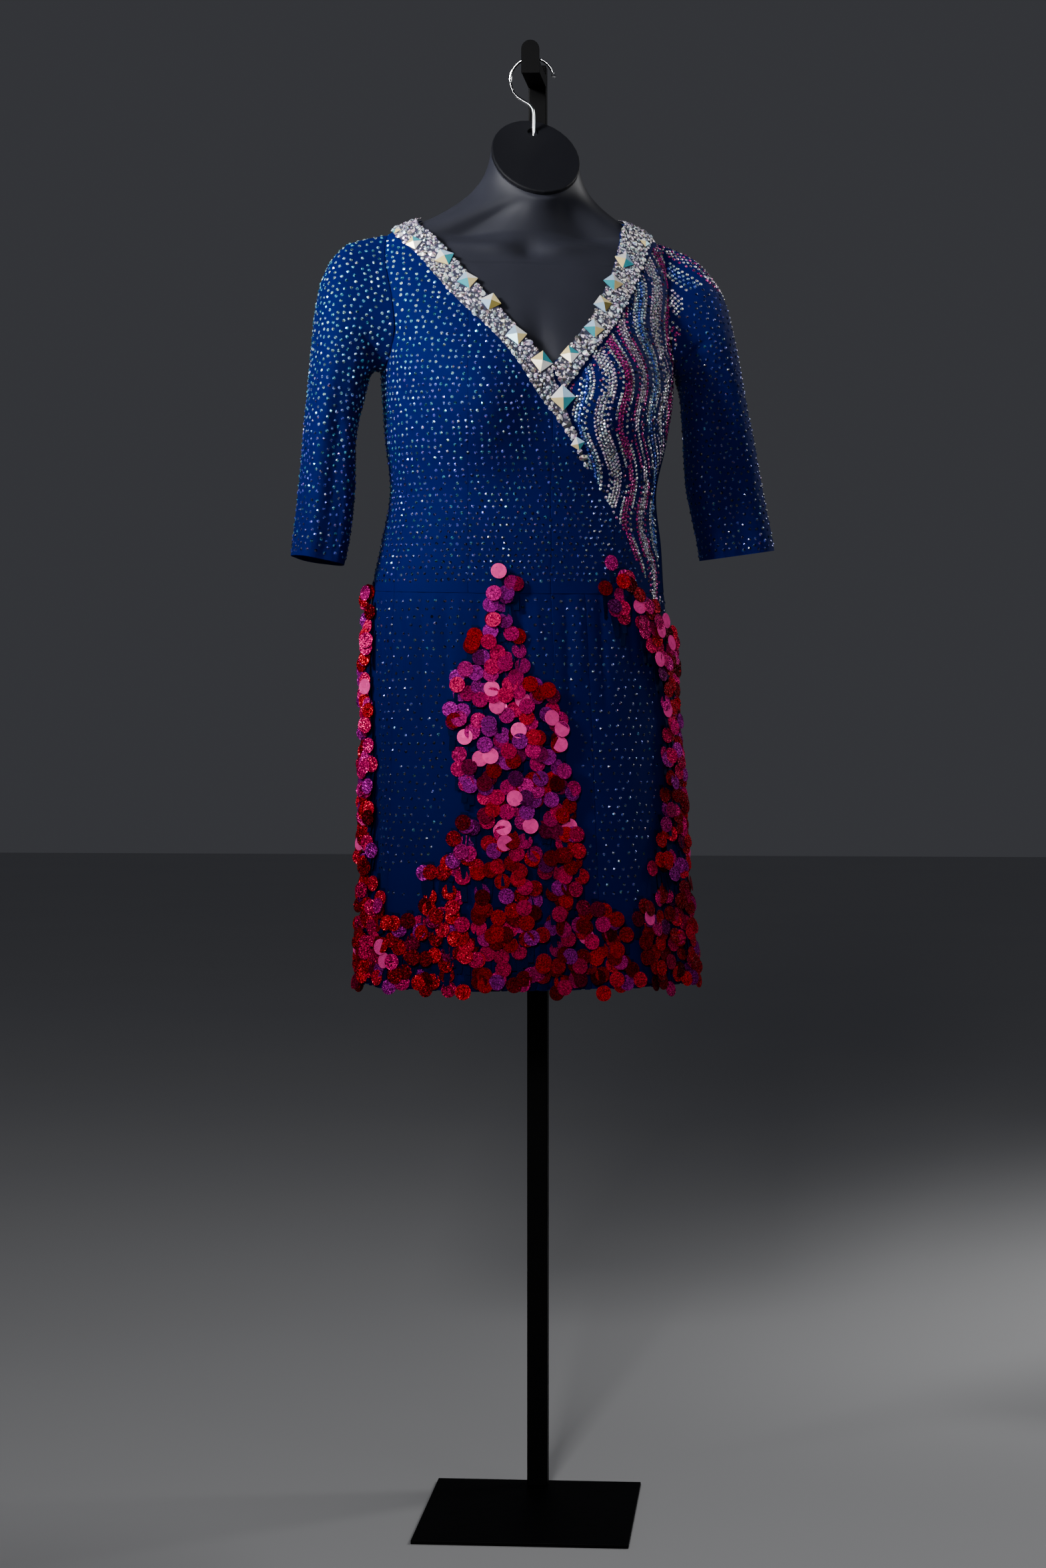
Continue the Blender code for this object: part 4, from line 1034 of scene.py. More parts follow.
@dataclass
class Finishes:
    """Every finish of the dress, the form and the stand, made once."""

    cloth: Material = once(
        StretchCloth("blue_stretch_cloth", (0.0002, 0.0026, 0.078), (0.0001, 0.0016, 0.054))
    )
    strip: Material = once(
        StretchCloth("blue_strip_cloth", (0.0002, 0.0026, 0.040), (0.0001, 0.0014, 0.022), 0.0)
    )
    ground: Material = once(
        StretchCloth("silver_band_ground", (0.055, 0.052, 0.080), (0.032, 0.032, 0.052), 0.02)
    )
    glass: Material = once(FacetedGlass("foiled_glass"))
    crystal: Material = once(FacetedGlass("band_crystal", 0.22, 0.20, 0.60))
    glitter: Material = once(DiscFilm("glitter_disc", 900.0, 0.80, 0.40, 0.12, 0.28, 1.9))
    mirror: Material = once(DiscFilm("mirror_disc", 260.0, 0.04, 0.25, 1.0, 0.22))
    form: Material = once(
        HardFinish("black_form_plastic", (0.0150, 0.0158, 0.0225), 0.45, shine=0.20)
    )
    # The cap's plastic is the form's black made darker: partly a separate part's own tone, partly painted
    # shade on its upturned top.
    cap: Material = once(HardFinish("black_cap_plastic_painted_shade", (0.0030, 0.0032, 0.0050), 0.50, shine=0.3))
    coat: Material = once(
        HardFinish("black_powder_coat", (0.0006, 0.0006, 0.0008), 0.52, 0.0, 2600.0, 0.00005, shine=0.06)
    )
    chrome: Material = once(
        HardFinish("chrome_plate", (0.78, 0.79, 0.80), 0.08, 1.0, relief=0.00001, wander=0.05)
    )


# ---- pieces of cloth ----
SEAM_DIP = (0.00030, 0.00010)  # how far a panel's edge rolls in at its first two columns
NECK_DEGREE = 0.0028  # length of one degree of turn at the neckline, about
SIDE_WAIST_TURN = 153.0  # the side seam's turn at the waist, on the wearer's right


def settle(piece: Object, look: Material, replaced: Sequence[str] = ()) -> Object:
    """Gives a piece its finish, hides the CAD nodes that it stands for, and lets it ride.

    Args:
        piece: the object.
        look: its material.
        replaced: the CAD nodes that it replaces.

    Returns:
        The same object.
    """
    piece.data.materials.append(look)
    if replaced:
        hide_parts(*replaced)
    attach(piece, "root")
    polygons = len(piece.data.polygons) if piece.type == "MESH" else 0
    LOG.info("%s: %d faces", piece.name, polygons)
    return piece


def along(table: Table, count: int, first: int = 0, last: int = 99) -> Line:
    """Even places along part of a table's line.

    Args:
        table: the line, as turns and heights.
        count: how many places.
        first: the part's first row.
        last: its last row.

    Returns:
        The places' turns and heights.
    """
    turn, z = table.column("turn")[first : last + 1], table.column("z")[first : last + 1]
    length = run_lengths(np.hypot(np.diff(turn) * NECK_DEGREE, np.diff(z)))
    at = np.linspace(0, length[-1], count)
    return smooth(length, turn, at), smooth(length, z, at)


def even_columns(count: int) -> Array:
    """Shares across a panel, with close columns at its two seams."""
    middle = np.linspace(0.045, 0.955, count - 5)
    return np.concatenate([[0.0, 0.009, 0.020], middle, [0.980, 0.991, 1.0]])


def edge_roll(columns: int) -> Array:
    """How far each column of a panel rolls in: only the two at each seam do."""
    roll = np.zeros(columns)
    roll[[0, -1]], roll[[1, -2]] = SEAM_DIP
    return roll


def seamed(name: str, grids: Sequence[Array]) -> Cloth:
    """A panel's shell from its outer and inner grids, pulled in by half a seam gap at its sides."""
    for grid in grids:
        for edge, inside in ((0, 1), (-1, -2)):
            grid[:, edge] += 0.5 * SEAM_GAP * unit(grid[:, inside] - grid[:, edge])
    return Cloth(name, *grids)


@dataclass
class Panel:
    """A cut panel between two edges given as rows of (turn, z)."""

    name: str
    left: Line
    right: Line
    columns: int
    surface: Surface
    lift: float = 0.0
    bend: Line | None = None
    foot: bool = False
    thick: float = CLOTH_T

    def cloth(self) -> Cloth:
        """The panel's shell."""
        share = even_columns(self.columns)
        turn, z = (a[:, None] * (1 - share) + b[:, None] * share for a, b in zip(self.left, self.right))
        rise = np.linspace(0, 1, len(turn))[:, None]
        if self.bend is not None:
            places = np.linspace(0, 1, len(self.bend[0]))
            turn = turn + (np.interp(share, places, self.bend[0]) - turn[-1]) * rise**2
            z = z + (np.interp(share, places, self.bend[1]) - z[-1]) * rise**2
        if self.foot:
            z = z + (waist_z(turn[0]) + 0.5 * SEAM_GAP - z[0]) * (1 - rise) ** 3
        roll = edge_roll(len(share))
        grids = [self.surface(turn, z, self.lift - thick - roll) for thick in (0.0, self.thick)]
        return seamed(self.name, grids)


@dataclass
class Dress:
    """The cloth of the dress: bodice, sleeves, skirt and the band's ground."""

    look: Finishes
    side_rows: int = 44
    arm_rows: int = 40
    neck_rows: int = 68
    skirt_rows: int = 76
    sleeve_rows: int = 88
    sleeve_sides: int = 96
    band_columns: int = 14
    band_down: int = 73
    tail_down: int = 33
    skirt_turns: tuple[float, ...] = (27.0, 72.0, 85.5, 153.0, 270.0, 387.0)
    skirt_columns: tuple[int, ...] = (44, 18, 62, 92, 92)
    sheets: list[tuple[Cloth, Object, str]] = field(default_factory=list)

    @property
    def upper_rows(self) -> int:
        """Rows of a panel above the height at which its inner edge turns into the neck."""
        return self.side_rows + self.arm_rows - self.neck_rows + 1

    def side(self, mirror: bool, front: bool) -> Line:
        """The side seam and the armhole's arc above it.

        Args:
            mirror: whether it is the wearer's left side.
            front: whether the arc is the front one.

        Returns:
            Turns and heights, from the waist up.
        """
        low = waist_z(np.array(180.0 - SIDE_WAIST_TURN if mirror else SIDE_WAIST_TURN)) + SEAM_GAP
        z = np.linspace(low, ARMHOLE_LOW, self.side_rows + 1)
        arc = np.pi * (1 - np.arange(1, self.arm_rows + 1) / self.arm_rows)
        arc_turn = 180.0 - ARMHOLE_SPREAD * np.sin(arc) * (1 if front else -1)
        turn = np.concatenate([SIDE_TURNS.at("z", "turn", z), arc_turn])
        height = np.concatenate([z, ARMHOLE_MID + ARMHOLE_TALL * np.cos(arc)])
        return (180.0 - turn if mirror else turn), height

    def cut_line(self, table: Table, top: float) -> Line:
        """A front seam from the waist up to a height."""
        low = float(waist_z(table.at("z", "turn", np.array(1.11)))) + SEAM_GAP
        z = np.linspace(low, top, self.neck_rows + 1)
        return table.at("z", "turn", z), z

    def bodice_panels(self) -> list[Panel]:
        """The six panels of the bodice."""
        panels = []
        centre = self.cut_line(CENTRE_FRONT, V_Z)
        for right in (True, False):
            word = "right" if right else "left"
            table, neck, meet = (FRONT_SEAM_R, NECKLINE_R, 3) if right else (FRONT_SEAM_L, NECKLINE_L, 6)
            seam = self.cut_line(table, neck.rows[meet][1])
            upper = along(neck, self.upper_rows, meet)
            inner = tuple(np.concatenate([a, b[1:]]) for a, b in zip(seam, upper))
            side = self.side(not right, True)
            panels.append(Panel(f"bodice_side_front_{word}", side, inner, 34, bodice, foot=True))
            top = tuple(line[::-1] for line in along(neck, 41, 0, meet))
            name = f"bodice_centre_front_{word}"
            panels.append(Panel(name, seam, centre, 28, bodice, bend=top, foot=True))
            panels.append(Panel(f"bodice_back_{word}", *self.back_edges(right), 48, bodice, foot=True))
        return panels

    def back_edges(self, right: bool) -> tuple[Line, Line]:
        """The side edge and the centre edge of a back.

        Args:
            right: whether it is the wearer's right back.

        Returns:
            Turns and heights of each edge, from the waist up.
        """
        turn, height = self.side(not right, False)
        low = float(waist_z(np.array(CENTRE_BACK))) + SEAM_GAP
        z = np.linspace(low, BACK_NECK_Z, self.neck_rows + 1)
        top = (NECKLINE_R if right else NECKLINE_L).rows[-1][1]
        away, curve_z = back_neck(top, np.linspace(0, 1, self.upper_rows)[1:])
        curve_turn = CENTRE_BACK + (-away if right else away)
        centre = (np.concatenate([np.full(len(z), CENTRE_BACK), curve_turn]), np.concatenate([z, curve_z]))
        turn = turn if right else turn % FULL_TURN
        return (np.where(turn < 90.0, turn + FULL_TURN, turn), height), centre

    def band_panels(self) -> list[Panel]:
        """The ground of the jewelled band, in its two parts."""
        rest = dict(surface=raised, lift=BAND_LIFT + BAND_T, thick=BAND_T, columns=self.band_columns)
        down = tuple(line[::-1] for line in along(NECKLINE_R, self.band_down))
        tail = along(BAND_R_TAIL, self.tail_down)
        inner = tuple(np.concatenate([a, b[1:]]) for a, b in zip(down, tail))
        outer = along(BAND_R_OUT, self.band_down + self.tail_down - 1)
        turn, z = tuple(line[::-1] for line in along(NECKLINE_L, self.band_down))
        turn = turn - 1.0 * (z < 1.40) * (1.40 - z) / 0.028  # it passes under the right part's tip
        left = Panel("neck_band_left", (turn, z), along(BAND_L_OUT, self.band_down), **rest)
        return [Panel("neck_band_right", inner, outer, **rest), left]

    def skirt_cloth(self) -> list[Cloth]:
        """The five panels of the skirt."""
        names = ("front_left", "front_centre", "front_right", "back_right", "back_left")
        share = np.linspace(0, 1, self.skirt_rows + 1)[:, None]
        top = 0.0006 * np.exp(-share / 0.006)
        made = []
        spans = zip(self.skirt_turns, self.skirt_turns[1:], self.skirt_columns)
        for name, (first, last, columns) in zip(names, spans):
            turn = first + (last - first) * even_columns(columns)
            z = (waist_z(turn) - SEAM_GAP * 0.5) * (1 - share) + HEM_Z * share
            turn, roll = np.broadcast_to(turn, z.shape), edge_roll(z.shape[1])
            made.append(seamed(f"skirt_{name}", [skirt(turn, z, -roll - top - t) for t in (0.0, CLOTH_T)]))
        return made

    def sleeve_cloth(self) -> list[Cloth]:
        """The two sleeves, as tubes from the armhole to the cuff."""
        around = np.arange(self.sleeve_sides) * FULL_TURN / self.sleeve_sides
        ring = np.linspace(0, SLEEVE_END, self.sleeve_rows + 1)[:, None]
        roll = SEAM_DIP[0] * np.exp(-((ring / 0.05) ** 2)) * np.ones_like(around)
        return [
            Cloth(name, *(shape.cloth(around, ring, -roll - t) for t in (0.0, CLOTH_T)), closed=True)
            for name, shape in SLEEVES.items()
        ]

    def build(self) -> None:
        """Builds every piece of cloth."""
        cloths = [(p.cloth(), "blue_cloth", "stretched") for p in self.bodice_panels()]
        cloths += [(p.cloth(), "jewelled_band", "stretched") for p in self.band_panels()]
        cloths += [(c, "blue_cloth", "gathered") for c in self.skirt_cloth()]
        cloths += [(c, "blue_cloth", "hung") for c in self.sleeve_cloth()]
        for cloth, slot, held in cloths:
            node = cloth.name
            cloth.name = f"{node}_cloth"
            look = self.look.ground if slot == "jewelled_band" else self.look.cloth
            self.sheets.append((cloth, settle(cloth.build(), look, [node]), held))

    def declare(self) -> None:
        """Logs each piece's cut size and area.
        """
        for cloth, piece, held in self.sheets:
            cloth.flat()
            cloth.area()
            LOG.info("%s: cut %.3f by %.3f m, %.4f m2", piece.name, *cloth.flat(), cloth.area())


# ---- stones ----
class StoneCut(Enum):
    """Cuts of the stones and of the discs."""

    SMALL = Cut(6, ((1.0, 0.0), (0.97, 0.18), (0.07, 0.62)))
    ROUND = Cut(10, ((1.0, 0.0), (0.98, 0.12), (0.06, 0.50)))
    SQUARE = Cut(4, ((1.38, 0.0), (1.38, 0.13), (0.04, 0.52)))
    DISC = Cut(24, ((1.0, -0.018), (1.0, 0.018)))


RAINBOW = np.array(
    [
        (1.0, 0.42, 0.76), (0.40, 0.84, 1.0), (1.0, 0.88, 0.55),
        (0.66, 0.52, 1.0), (0.52, 0.96, 0.86), (1, 1, 1),
    ]
)
GOLD, OLIVE, TEAL = (1.0, 0.80, 0.36), (0.34, 0.27, 0.07), (0.05, 0.42, 0.50)
SKY, WHITE = (0.50, 0.74, 1.0), (1.0, 1.0, 0.97)
# Hues of the four slopes of each kind of large stone: partly the stones' film and foil colours, partly
# painted reflections, with the white slopes as painted highlights.
SQUARE_HUES_AND_REFLECTIONS = np.array(
    [
        (WHITE, GOLD, OLIVE, SKY),
        (GOLD, TEAL, WHITE, OLIVE),
        (WHITE, SKY, TEAL, GOLD),
        (SKY, WHITE, GOLD, TEAL),
    ]
)


def stone_facets(tint: Array, facets: int) -> Array:
    """Colours of stones: each one's tint under a rainbow film, with painted reflections: a few facets
    painted bright, most dim, and some with painted glints.

    Args:
        tint: each stone's tint.
        facets: how many facets a stone has.

    Returns:
        The colours, facet by facet.
    """
    rng = np.random.default_rng(11)
    each = (len(tint), facets, 1)
    film = RAINBOW[rng.integers(0, len(RAINBOW), each[:2])]
    # Facets painted bright or dim stand in for the reflections that each facet would show.
    lit = rng.random(each) < 0.46
    bright = np.where(lit, rng.uniform(0.70, 1.30, each), rng.uniform(0.02, 0.26, each))
    strength = rng.uniform(0.15, 0.95, each) * tint.min(axis=1)[:, None, None]
    colour = tint[:, None] * (1 - strength + strength * film) * bright
    # Painted glints: extra brightness in the film's hue on a few facets.
    painted_glint = (rng.random(each) < 0.16) * rng.uniform(0.15, 0.8, each)
    return np.clip(colour + painted_glint * film * (0.12 + tint.mean(axis=1))[:, None, None], 0, 1)


def square_facets(tint: Array, facets: int) -> Array:
    """Colours of the large square stones, facet by facet, with painted reflections on their slopes."""
    rng = np.random.default_rng(5)
    pick = rng.integers(0, len(SQUARE_HUES_AND_REFLECTIONS), len(tint))[:, None]
    colour = SQUARE_HUES_AND_REFLECTIONS[pick, np.arange(facets)[None] % 4]
    return colour * rng.uniform(0.75, 1.0, (len(tint), facets, 1)) * tint[:, None]


def disc_facets(tint: Array, facets: int) -> Array:
    """One colour all over each disc."""
    return np.repeat(tint[:, None], facets, axis=1)


ROW_STEP = 0.866  # distance between staggered rows, in pitches
SCATTER_WANDER, SCATTER_REACH = 0.08, 0.40  # in pitches
# Steps along a surface for the normals on it.
BODICE_STEP, SKIRT_STEP, SLEEVE_STEP, DISC_STEP = (0.3, 0.0008), (0.3, 0.001), (1.0, 0.03), (0.8, 0.004)


def rows_of_places(
    surface: Surface, u: Array, v: Array, pitch: float, seed: int, jitter: float
) -> Line:
    """Places in staggered rows over a surface, evenly spaced by length on it.

    Args:
        surface: the surface.
        u: rising turns that cover it.
        v: places along it, from its first row to its last.
        pitch: distance between places.
        seed: seed of the small wander.
        jitter: the wander, in pitches.

    Returns:
        The places as u and v.
    """
    rng = np.random.default_rng(seed)
    length = run_lengths(np.linalg.norm(np.diff(surface(u[None, :], v[:, None]), axis=0), axis=-1))
    found = []
    for row in range(int(length[-1].max() / (pitch * ROW_STEP)) + 1):
        at = (row + 0.5) * pitch * ROW_STEP
        height = np.array([np.interp(at, length[:, k], v, right=np.nan) for k in range(len(u))])
        line = surface(u, np.nan_to_num(height, nan=v[-1]))
        run = run_lengths(np.linalg.norm(np.diff(line, axis=0), axis=-1))
        spots = np.arange((row % 2) * 0.5, run[-1] / pitch) * pitch
        place = np.stack([np.interp(spots, run, u), np.interp(spots, run, height)], axis=1)
        spread = rng.normal(0, jitter * pitch, (len(spots), 2))
        du, dv = (u[1] - u[0]) / max(run[1], 1e-9), (v[1] - v[0]) / max(length[1].mean(), 1e-9)
        found.append((place + spread * [du, dv])[~np.isnan(place[:, 1])])
    places = np.concatenate(found)
    return places[:, 0], places[:, 1]


def scatter(
    surface: Surface, u: Array, v: Array, pitch: float, seed: int, keep: Callable[[Array, Array], Array]
) -> Line:
    """Places spread over a surface at an even, slightly uneven spacing.

    Args:
        surface: the surface.
        u: rising turns that cover it.
        v: places along it.
        pitch: distance between places.
        seed: seed of the draw.
        keep: tells which places may be used.

    Returns:
        The places as u and v.
    """
    rng = np.random.default_rng(seed + 500)
    row_u, row_v = rows_of_places(surface, u, v, pitch, seed, SCATTER_WANDER)
    many = 2 * len(row_u)
    all_u = np.concatenate([row_u, rng.uniform(u[0], u[-1], many)])
    all_v = np.concatenate([row_v, rng.uniform(v.min(), v.max(), many)])
    free = keep(all_u, all_v)
    all_u, all_v = all_u[free], all_v[free]
    pick = apart(surface(all_u, all_v), np.full(len(all_u), SCATTER_REACH * pitch))
    return all_u[pick], all_v[pick]


@dataclass
class Patch:
    """Places on a surface as u and v, with directions out and the steps that its normals take."""

    surface: Surface
    u: Array
    v: Array
    out: Array
    step: tuple[float, float]

    def points(self) -> Array:
        """Where stones stand, sunk a little."""
        return self.surface(self.u, self.v, -STONE_SUNK)

    def normals(self) -> Array:
        """Unit normals of the surface, on the side of the directions out."""
        du, dv = self.step
        across = self.surface(self.u + du, self.v) - self.surface(self.u - du, self.v)
        along_v = self.surface(self.u, self.v + dv) - self.surface(self.u, self.v - dv)
        normal = unit(np.cross(along_v, across))
        return normal * np.sign((normal * self.out).sum(axis=-1, keepdims=True))

    def some(self, pick: Array) -> "Patch":
        """The places that are picked."""
        return Patch(self.surface, self.u[pick], self.v[pick], self.out[pick], self.step)

    def stones(self, name: str, radius: float, tint: Array, seed: int, look: Finishes) -> Object:
        """A small stone on every place, in one piece.

        Args:
            name: the piece's name.
            radius: each stone's radius.
            tint: each one's tint.
            seed: seed of their spins.
            look: the finishes.

        Returns:
            The piece.
        """
        spin = np.random.default_rng(seed).uniform(0, ANY_SPIN, len(self.u))
        spots = Spots(self.points(), self.normals(), np.full(len(self.u), radius), tint, spin)
        return stone_piece(name, StoneCut.SMALL, spots, look)


def on_body(surface: Surface, turn: Array, z: Array, step: tuple[float, float]) -> Patch:
    """Places on the bodice or the skirt."""
    return Patch(surface, turn, z, raised_out(turn, z), step)


def on_sleeve(shape: SleeveShape, around: Array, ring: Array) -> Patch:
    """Places on a sleeve."""
    return Patch(shape.cloth, around, ring, turned(shape.out(around, ring)), SLEEVE_STEP)


def neck_height(turn: Array) -> Array:
    """Height of the neck's edge at each turn."""
    turn = np.asarray(turn, float) % FULL_TURN
    away = turn - CENTRE_BACK
    share = np.linspace(0, 1, 60)
    right = np.interp(-away, *back_neck(NECKLINE_R.rows[-1][1], share))
    left = np.interp(away, *back_neck(NECKLINE_L.rows[-1][1], share))
    front = np.where(turn > 89.8, NECKLINE_R.at("turn", "z", turn), NECKLINE_L.at("turn", "z", turn))
    return np.where(turn > CENTRE_BACK, left, np.where(turn > 180.0, right, front))


def outside_armholes(turn: Array, z: Array, margin: float) -> Array:
    """Whether places lie clear of both armholes by a margin."""
    keep = np.ones(np.shape(turn), bool)
    for side in (0.0, 180.0):
        across = wrapped(turn - side) / (ARMHOLE_SPREAD + margin / DEGREE)
        keep &= across**2 + ((z - ARMHOLE_MID) / (ARMHOLE_TALL + margin)) ** 2 > 1
    return keep


def band_floor(turn: Array) -> Array:
    """Height of the band's outer edge on the front, where the cloth of the bodice begins."""
    right = BAND_R_OUT.at("turn", "z", turn)
    left = BAND_L_OUT.at("turn", "z", turn)
    return np.where(turn > BAND_MEET, right, np.where(turn > BAND_TIP, np.minimum(right, left), left))


def on_cap(around: Array, ring: Array, margin: float = 0.0) -> Array:
    """Whether places on the wearer's left sleeve lie on its ornamented cap.

    Args:
        around: places round the sleeve, in degrees.
        ring: rings along it.
        margin: how many rings more the cap reaches.

    Returns:
        Whether each place does.
    """
    at = wrapped(around)
    reach = 0.70 + 2.50 * np.exp(-(((at - 12.0) / 38.0) ** 2))
    inner = (at > -70.0) & (at < 128.0) & (ring < reach + margin)
    return inner | ((np.abs(at + 3.0) < 11.0 + 60 * margin) & (ring < 4.4 + margin))


def in_ornament(turn: Array, z: Array, margin: float = 0.0) -> Array:
    """Whether places lie in the ornament's field on the wearer's left front."""
    edge = ORNAMENT_EDGE.at("z", "turn", z) + margin / DEGREE
    low, high = ORNAMENT_EDGE.rows[0][0] - margin, ORNAMENT_EDGE.rows[-1][0]
    return (z > low) & (z < high) & (turn < edge) & (turn > -4.0)


def apart(
    points: Array, reach: Array, placed: Array = np.zeros((0, 3)), placed_reach: Array = np.zeros(0)
) -> Array:
    """Picks places in order, leaving out each that comes too near one picked before it.

    Args:
        points: the places, the most wanted first.
        reach: each one's radius.
        placed: places that are already taken.
        placed_reach: their radii.

    Returns:
        The indices picked.
    """
    at = np.concatenate([placed, np.zeros_like(points)])
    size = np.concatenate([placed_reach, np.zeros_like(reach)])
    used, picked = len(placed), []
    for i, (point, radius) in enumerate(zip(points, reach)):
        gap = np.linalg.norm(at[:used] - point, axis=1) - size[:used] - radius
        if used == 0 or gap.min() > 0:
            at[used], size[used] = point, radius
            used += 1
            picked.append(i)
    return np.array(picked, int)


def stone_piece(name: str, cut: StoneCut, spots: Spots, look: Finishes) -> Object:
    """Joins stones into one piece."""
    facets = square_facets if cut is StoneCut.SQUARE else stone_facets
    glass = look.glass if cut is StoneCut.SMALL else look.crystal
    return settle(joined(name, cut.value, spots, facets), glass)


@dataclass
class Stones:
    """The small stones that are scattered over the dress."""

    look: Finishes
    pitch: float = 0.0083
    skirt_pitch: float = 1.28 * 0.0083
    edge: float = 0.004  # least distance from the band, the ornament and the waist
    neck_edge: float = 0.006
    band_edge: float = 0.0045
    armhole_edge: float = 0.0026
    # The stones' tint fades from this shoulder: partly their own ombré from pale to jet, partly painted
    # light and shade that follow the key light's fall-off.
    shoulder: tuple[float, float, float] = (-0.20, -0.10, 1.53)  # the brightest place
    fade: float = 0.42  # how far from it the stones turn dark
    ice: Colour = (0.42, 0.84, 1.0)
    teal: Colour = (0.10, 0.52, 0.86)
    violet: Colour = (0.10, 0.12, 0.72)
    jet: Colour = (0.014, 0.022, 0.11)

    def tint(self, points: Array, seed: int) -> Array:
        """Tints of scattered stones: bright near the lit shoulder, then blue, then dark; partly the stones'
        own ombré, partly painted light near the shoulder and painted shade far from it.

        Args:
            points: the stones' places in the frame.
            seed: seed of the draw.

        Returns:
            One tint a stone.
        """
        rng = np.random.default_rng(seed)
        away = np.linalg.norm(points - np.array(self.shoulder), axis=1)
        near = np.clip(1.02 - away / self.fade, 0.0, 1.0)
        tone = np.clip(near + rng.normal(0, 0.10, len(points)), 0, 1)[:, None]
        ice, teal, violet, jet = (np.array(hue) for hue in (self.ice, self.teal, self.violet, self.jet))
        pick = rng.random((len(points), 1))
        bright = np.where(pick < 0.55, ice, teal)
        middle = np.where(pick < 0.45, violet, np.where(pick < 0.8, teal * 0.6, violet * 0.7))
        low = jet * rng.uniform(0.6, 2.2, (len(points), 1))
        high, mid = np.clip((tone - 0.45) / 0.35, 0, 1), np.clip(tone / 0.45, 0, 1)
        return high * bright + (1 - high) * (mid * middle + (1 - mid) * low)

    def piece(self, name: str, patch: Patch, seed: int) -> Object:
        """One piece of scattered stones."""
        return patch.stones(name, STONE_R, self.tint(patch.points(), seed + 1), seed, self.look)

    def halves(self, part: str, patch: Patch, seed: int) -> list[Object]:
        """The front piece and the back piece of a part's scattered stones."""
        words = (("front", patch.u <= 180.0), ("back", patch.u > 180.0))
        return [self.piece(f"stones_{part}_{word}", patch.some(half), seed) for word, half in words]

    def on_bodice(self, turn: Array, z: Array) -> Array:
        """Whether places lie on the bodice's own cloth, clear of the band and the ornament."""
        turn = turn % FULL_TURN
        front = turn < 180.0
        free = (z < neck_height(turn) - self.neck_edge) & outside_armholes(turn, z, self.armhole_edge)
        free &= ~front | (z < band_floor(turn) - self.band_edge) | (turn < BAND_MEET)
        free &= ~(front & in_ornament(turn, z, self.edge))
        low_right, low_left = (edge.at("turn", "z", turn) - self.edge for edge in (BAND_R_OUT, BAND_L_OUT))
        over_right = (turn <= 88.0) & (z > low_right) & (turn > BAND_TIP)
        over_left = (turn <= BAND_MEET) & (z > low_left)
        return free & ~(front & (over_right | over_left))

    def bodice_stones(self) -> list[Object]:
        """Scattered stones of the bodice, front and back."""
        u, v = np.arange(0.0, 361.0, 2.0), np.linspace(1.1195, 1.572, 220)
        turn, z = scatter(bodice, u, v, self.pitch, 3, self.on_bodice)
        return self.halves("bodice", on_body(bodice, turn % FULL_TURN, z, BODICE_STEP), 21)

    def sleeve_stones(self) -> list[Object]:
        """Scattered stones of the two sleeves."""
        u, v = np.arange(0.0, 361.0, 3.0), np.linspace(0.12, SLEEVE_END - 0.22, 160)
        pieces = []
        for seed, (name, shape) in enumerate(SLEEVES.items()):
            left = name == "sleeve_left"
            around, ring = scatter(
                shape.cloth, u, v, self.pitch, 7 + seed, lambda a, r: ~(left & on_cap(a, r, 0.12))
            )
            pieces.append(self.piece(f"stones_{name}", on_sleeve(shape, around, ring), 40 + seed))
        return pieces

    def skirt_stones(self, clear: Callable[[Array, Array], Array]) -> list[Object]:
        """Scattered stones of the skirt, where no discs hang."""
        u, v = np.arange(0.0, 361.0, 2.0), np.linspace(1.103, 0.700, 200)

        def keep(turn: Array, z: Array) -> Array:
            """Whether places lie clear of the discs and of the waist."""
            return clear(turn, z) & (z < waist_z(turn) - self.edge)

        turn, z = scatter(skirt, u, v, self.skirt_pitch, 5, keep)
        return self.halves("skirt", on_body(skirt, turn % FULL_TURN, z, SKIRT_STEP), 61)


BAND_SQUARES_R = Table(
    ("turn", "z", "radius", "spin"),
    (
        (124.8, 1.503, 0.0125, 20.0), (116.5, 1.474, 0.0125, 35.0), (109.2, 1.447, 0.0125, 60.0),
        (101.8, 1.407, 0.013, 40.0), (93.0, 1.376, 0.0135, 55.0), (84.8, 1.335, 0.015, 42.0),
        (77.6, 1.283, 0.0085, 30.0), (140.0, 1.522, 0.01, 30.0), (160.0, 1.5385, 0.0065, 40.0),
    ),
)
BAND_SQUARES_L = Table(
    ("turn", "z", "radius", "spin"),
    (
        (53.8, 1.505, 0.0125, 70.0), (61.0, 1.476, 0.0125, 55.0), (66.8, 1.448, 0.012, 40.0),
        (71.5, 1.417, 0.0125, 50.0), (81.8, 1.385, 0.0115, 40.0), (36.0, 1.5315, 0.007, 60.0),
    ),
)
# Radius, stretch and draws of each size between the large stones.
BAND_FILL = (
    (0.0044, 1.3, 110),
    (0.0036, 1.0, 5000),
    (0.0029, 1.0, 9000),
    (0.0022, 1.0, 16000),
    (0.0015, 1.0, 12000),
)
BAND_TINTS = np.array(
    [
        (1.0, 0.98, 1.0), (0.92, 0.92, 1.0), (0.86, 0.72, 0.98),
        (0.74, 0.86, 1.0), (1.0, 0.90, 0.86), (1.0, 0.86, 0.94),
    ]
)


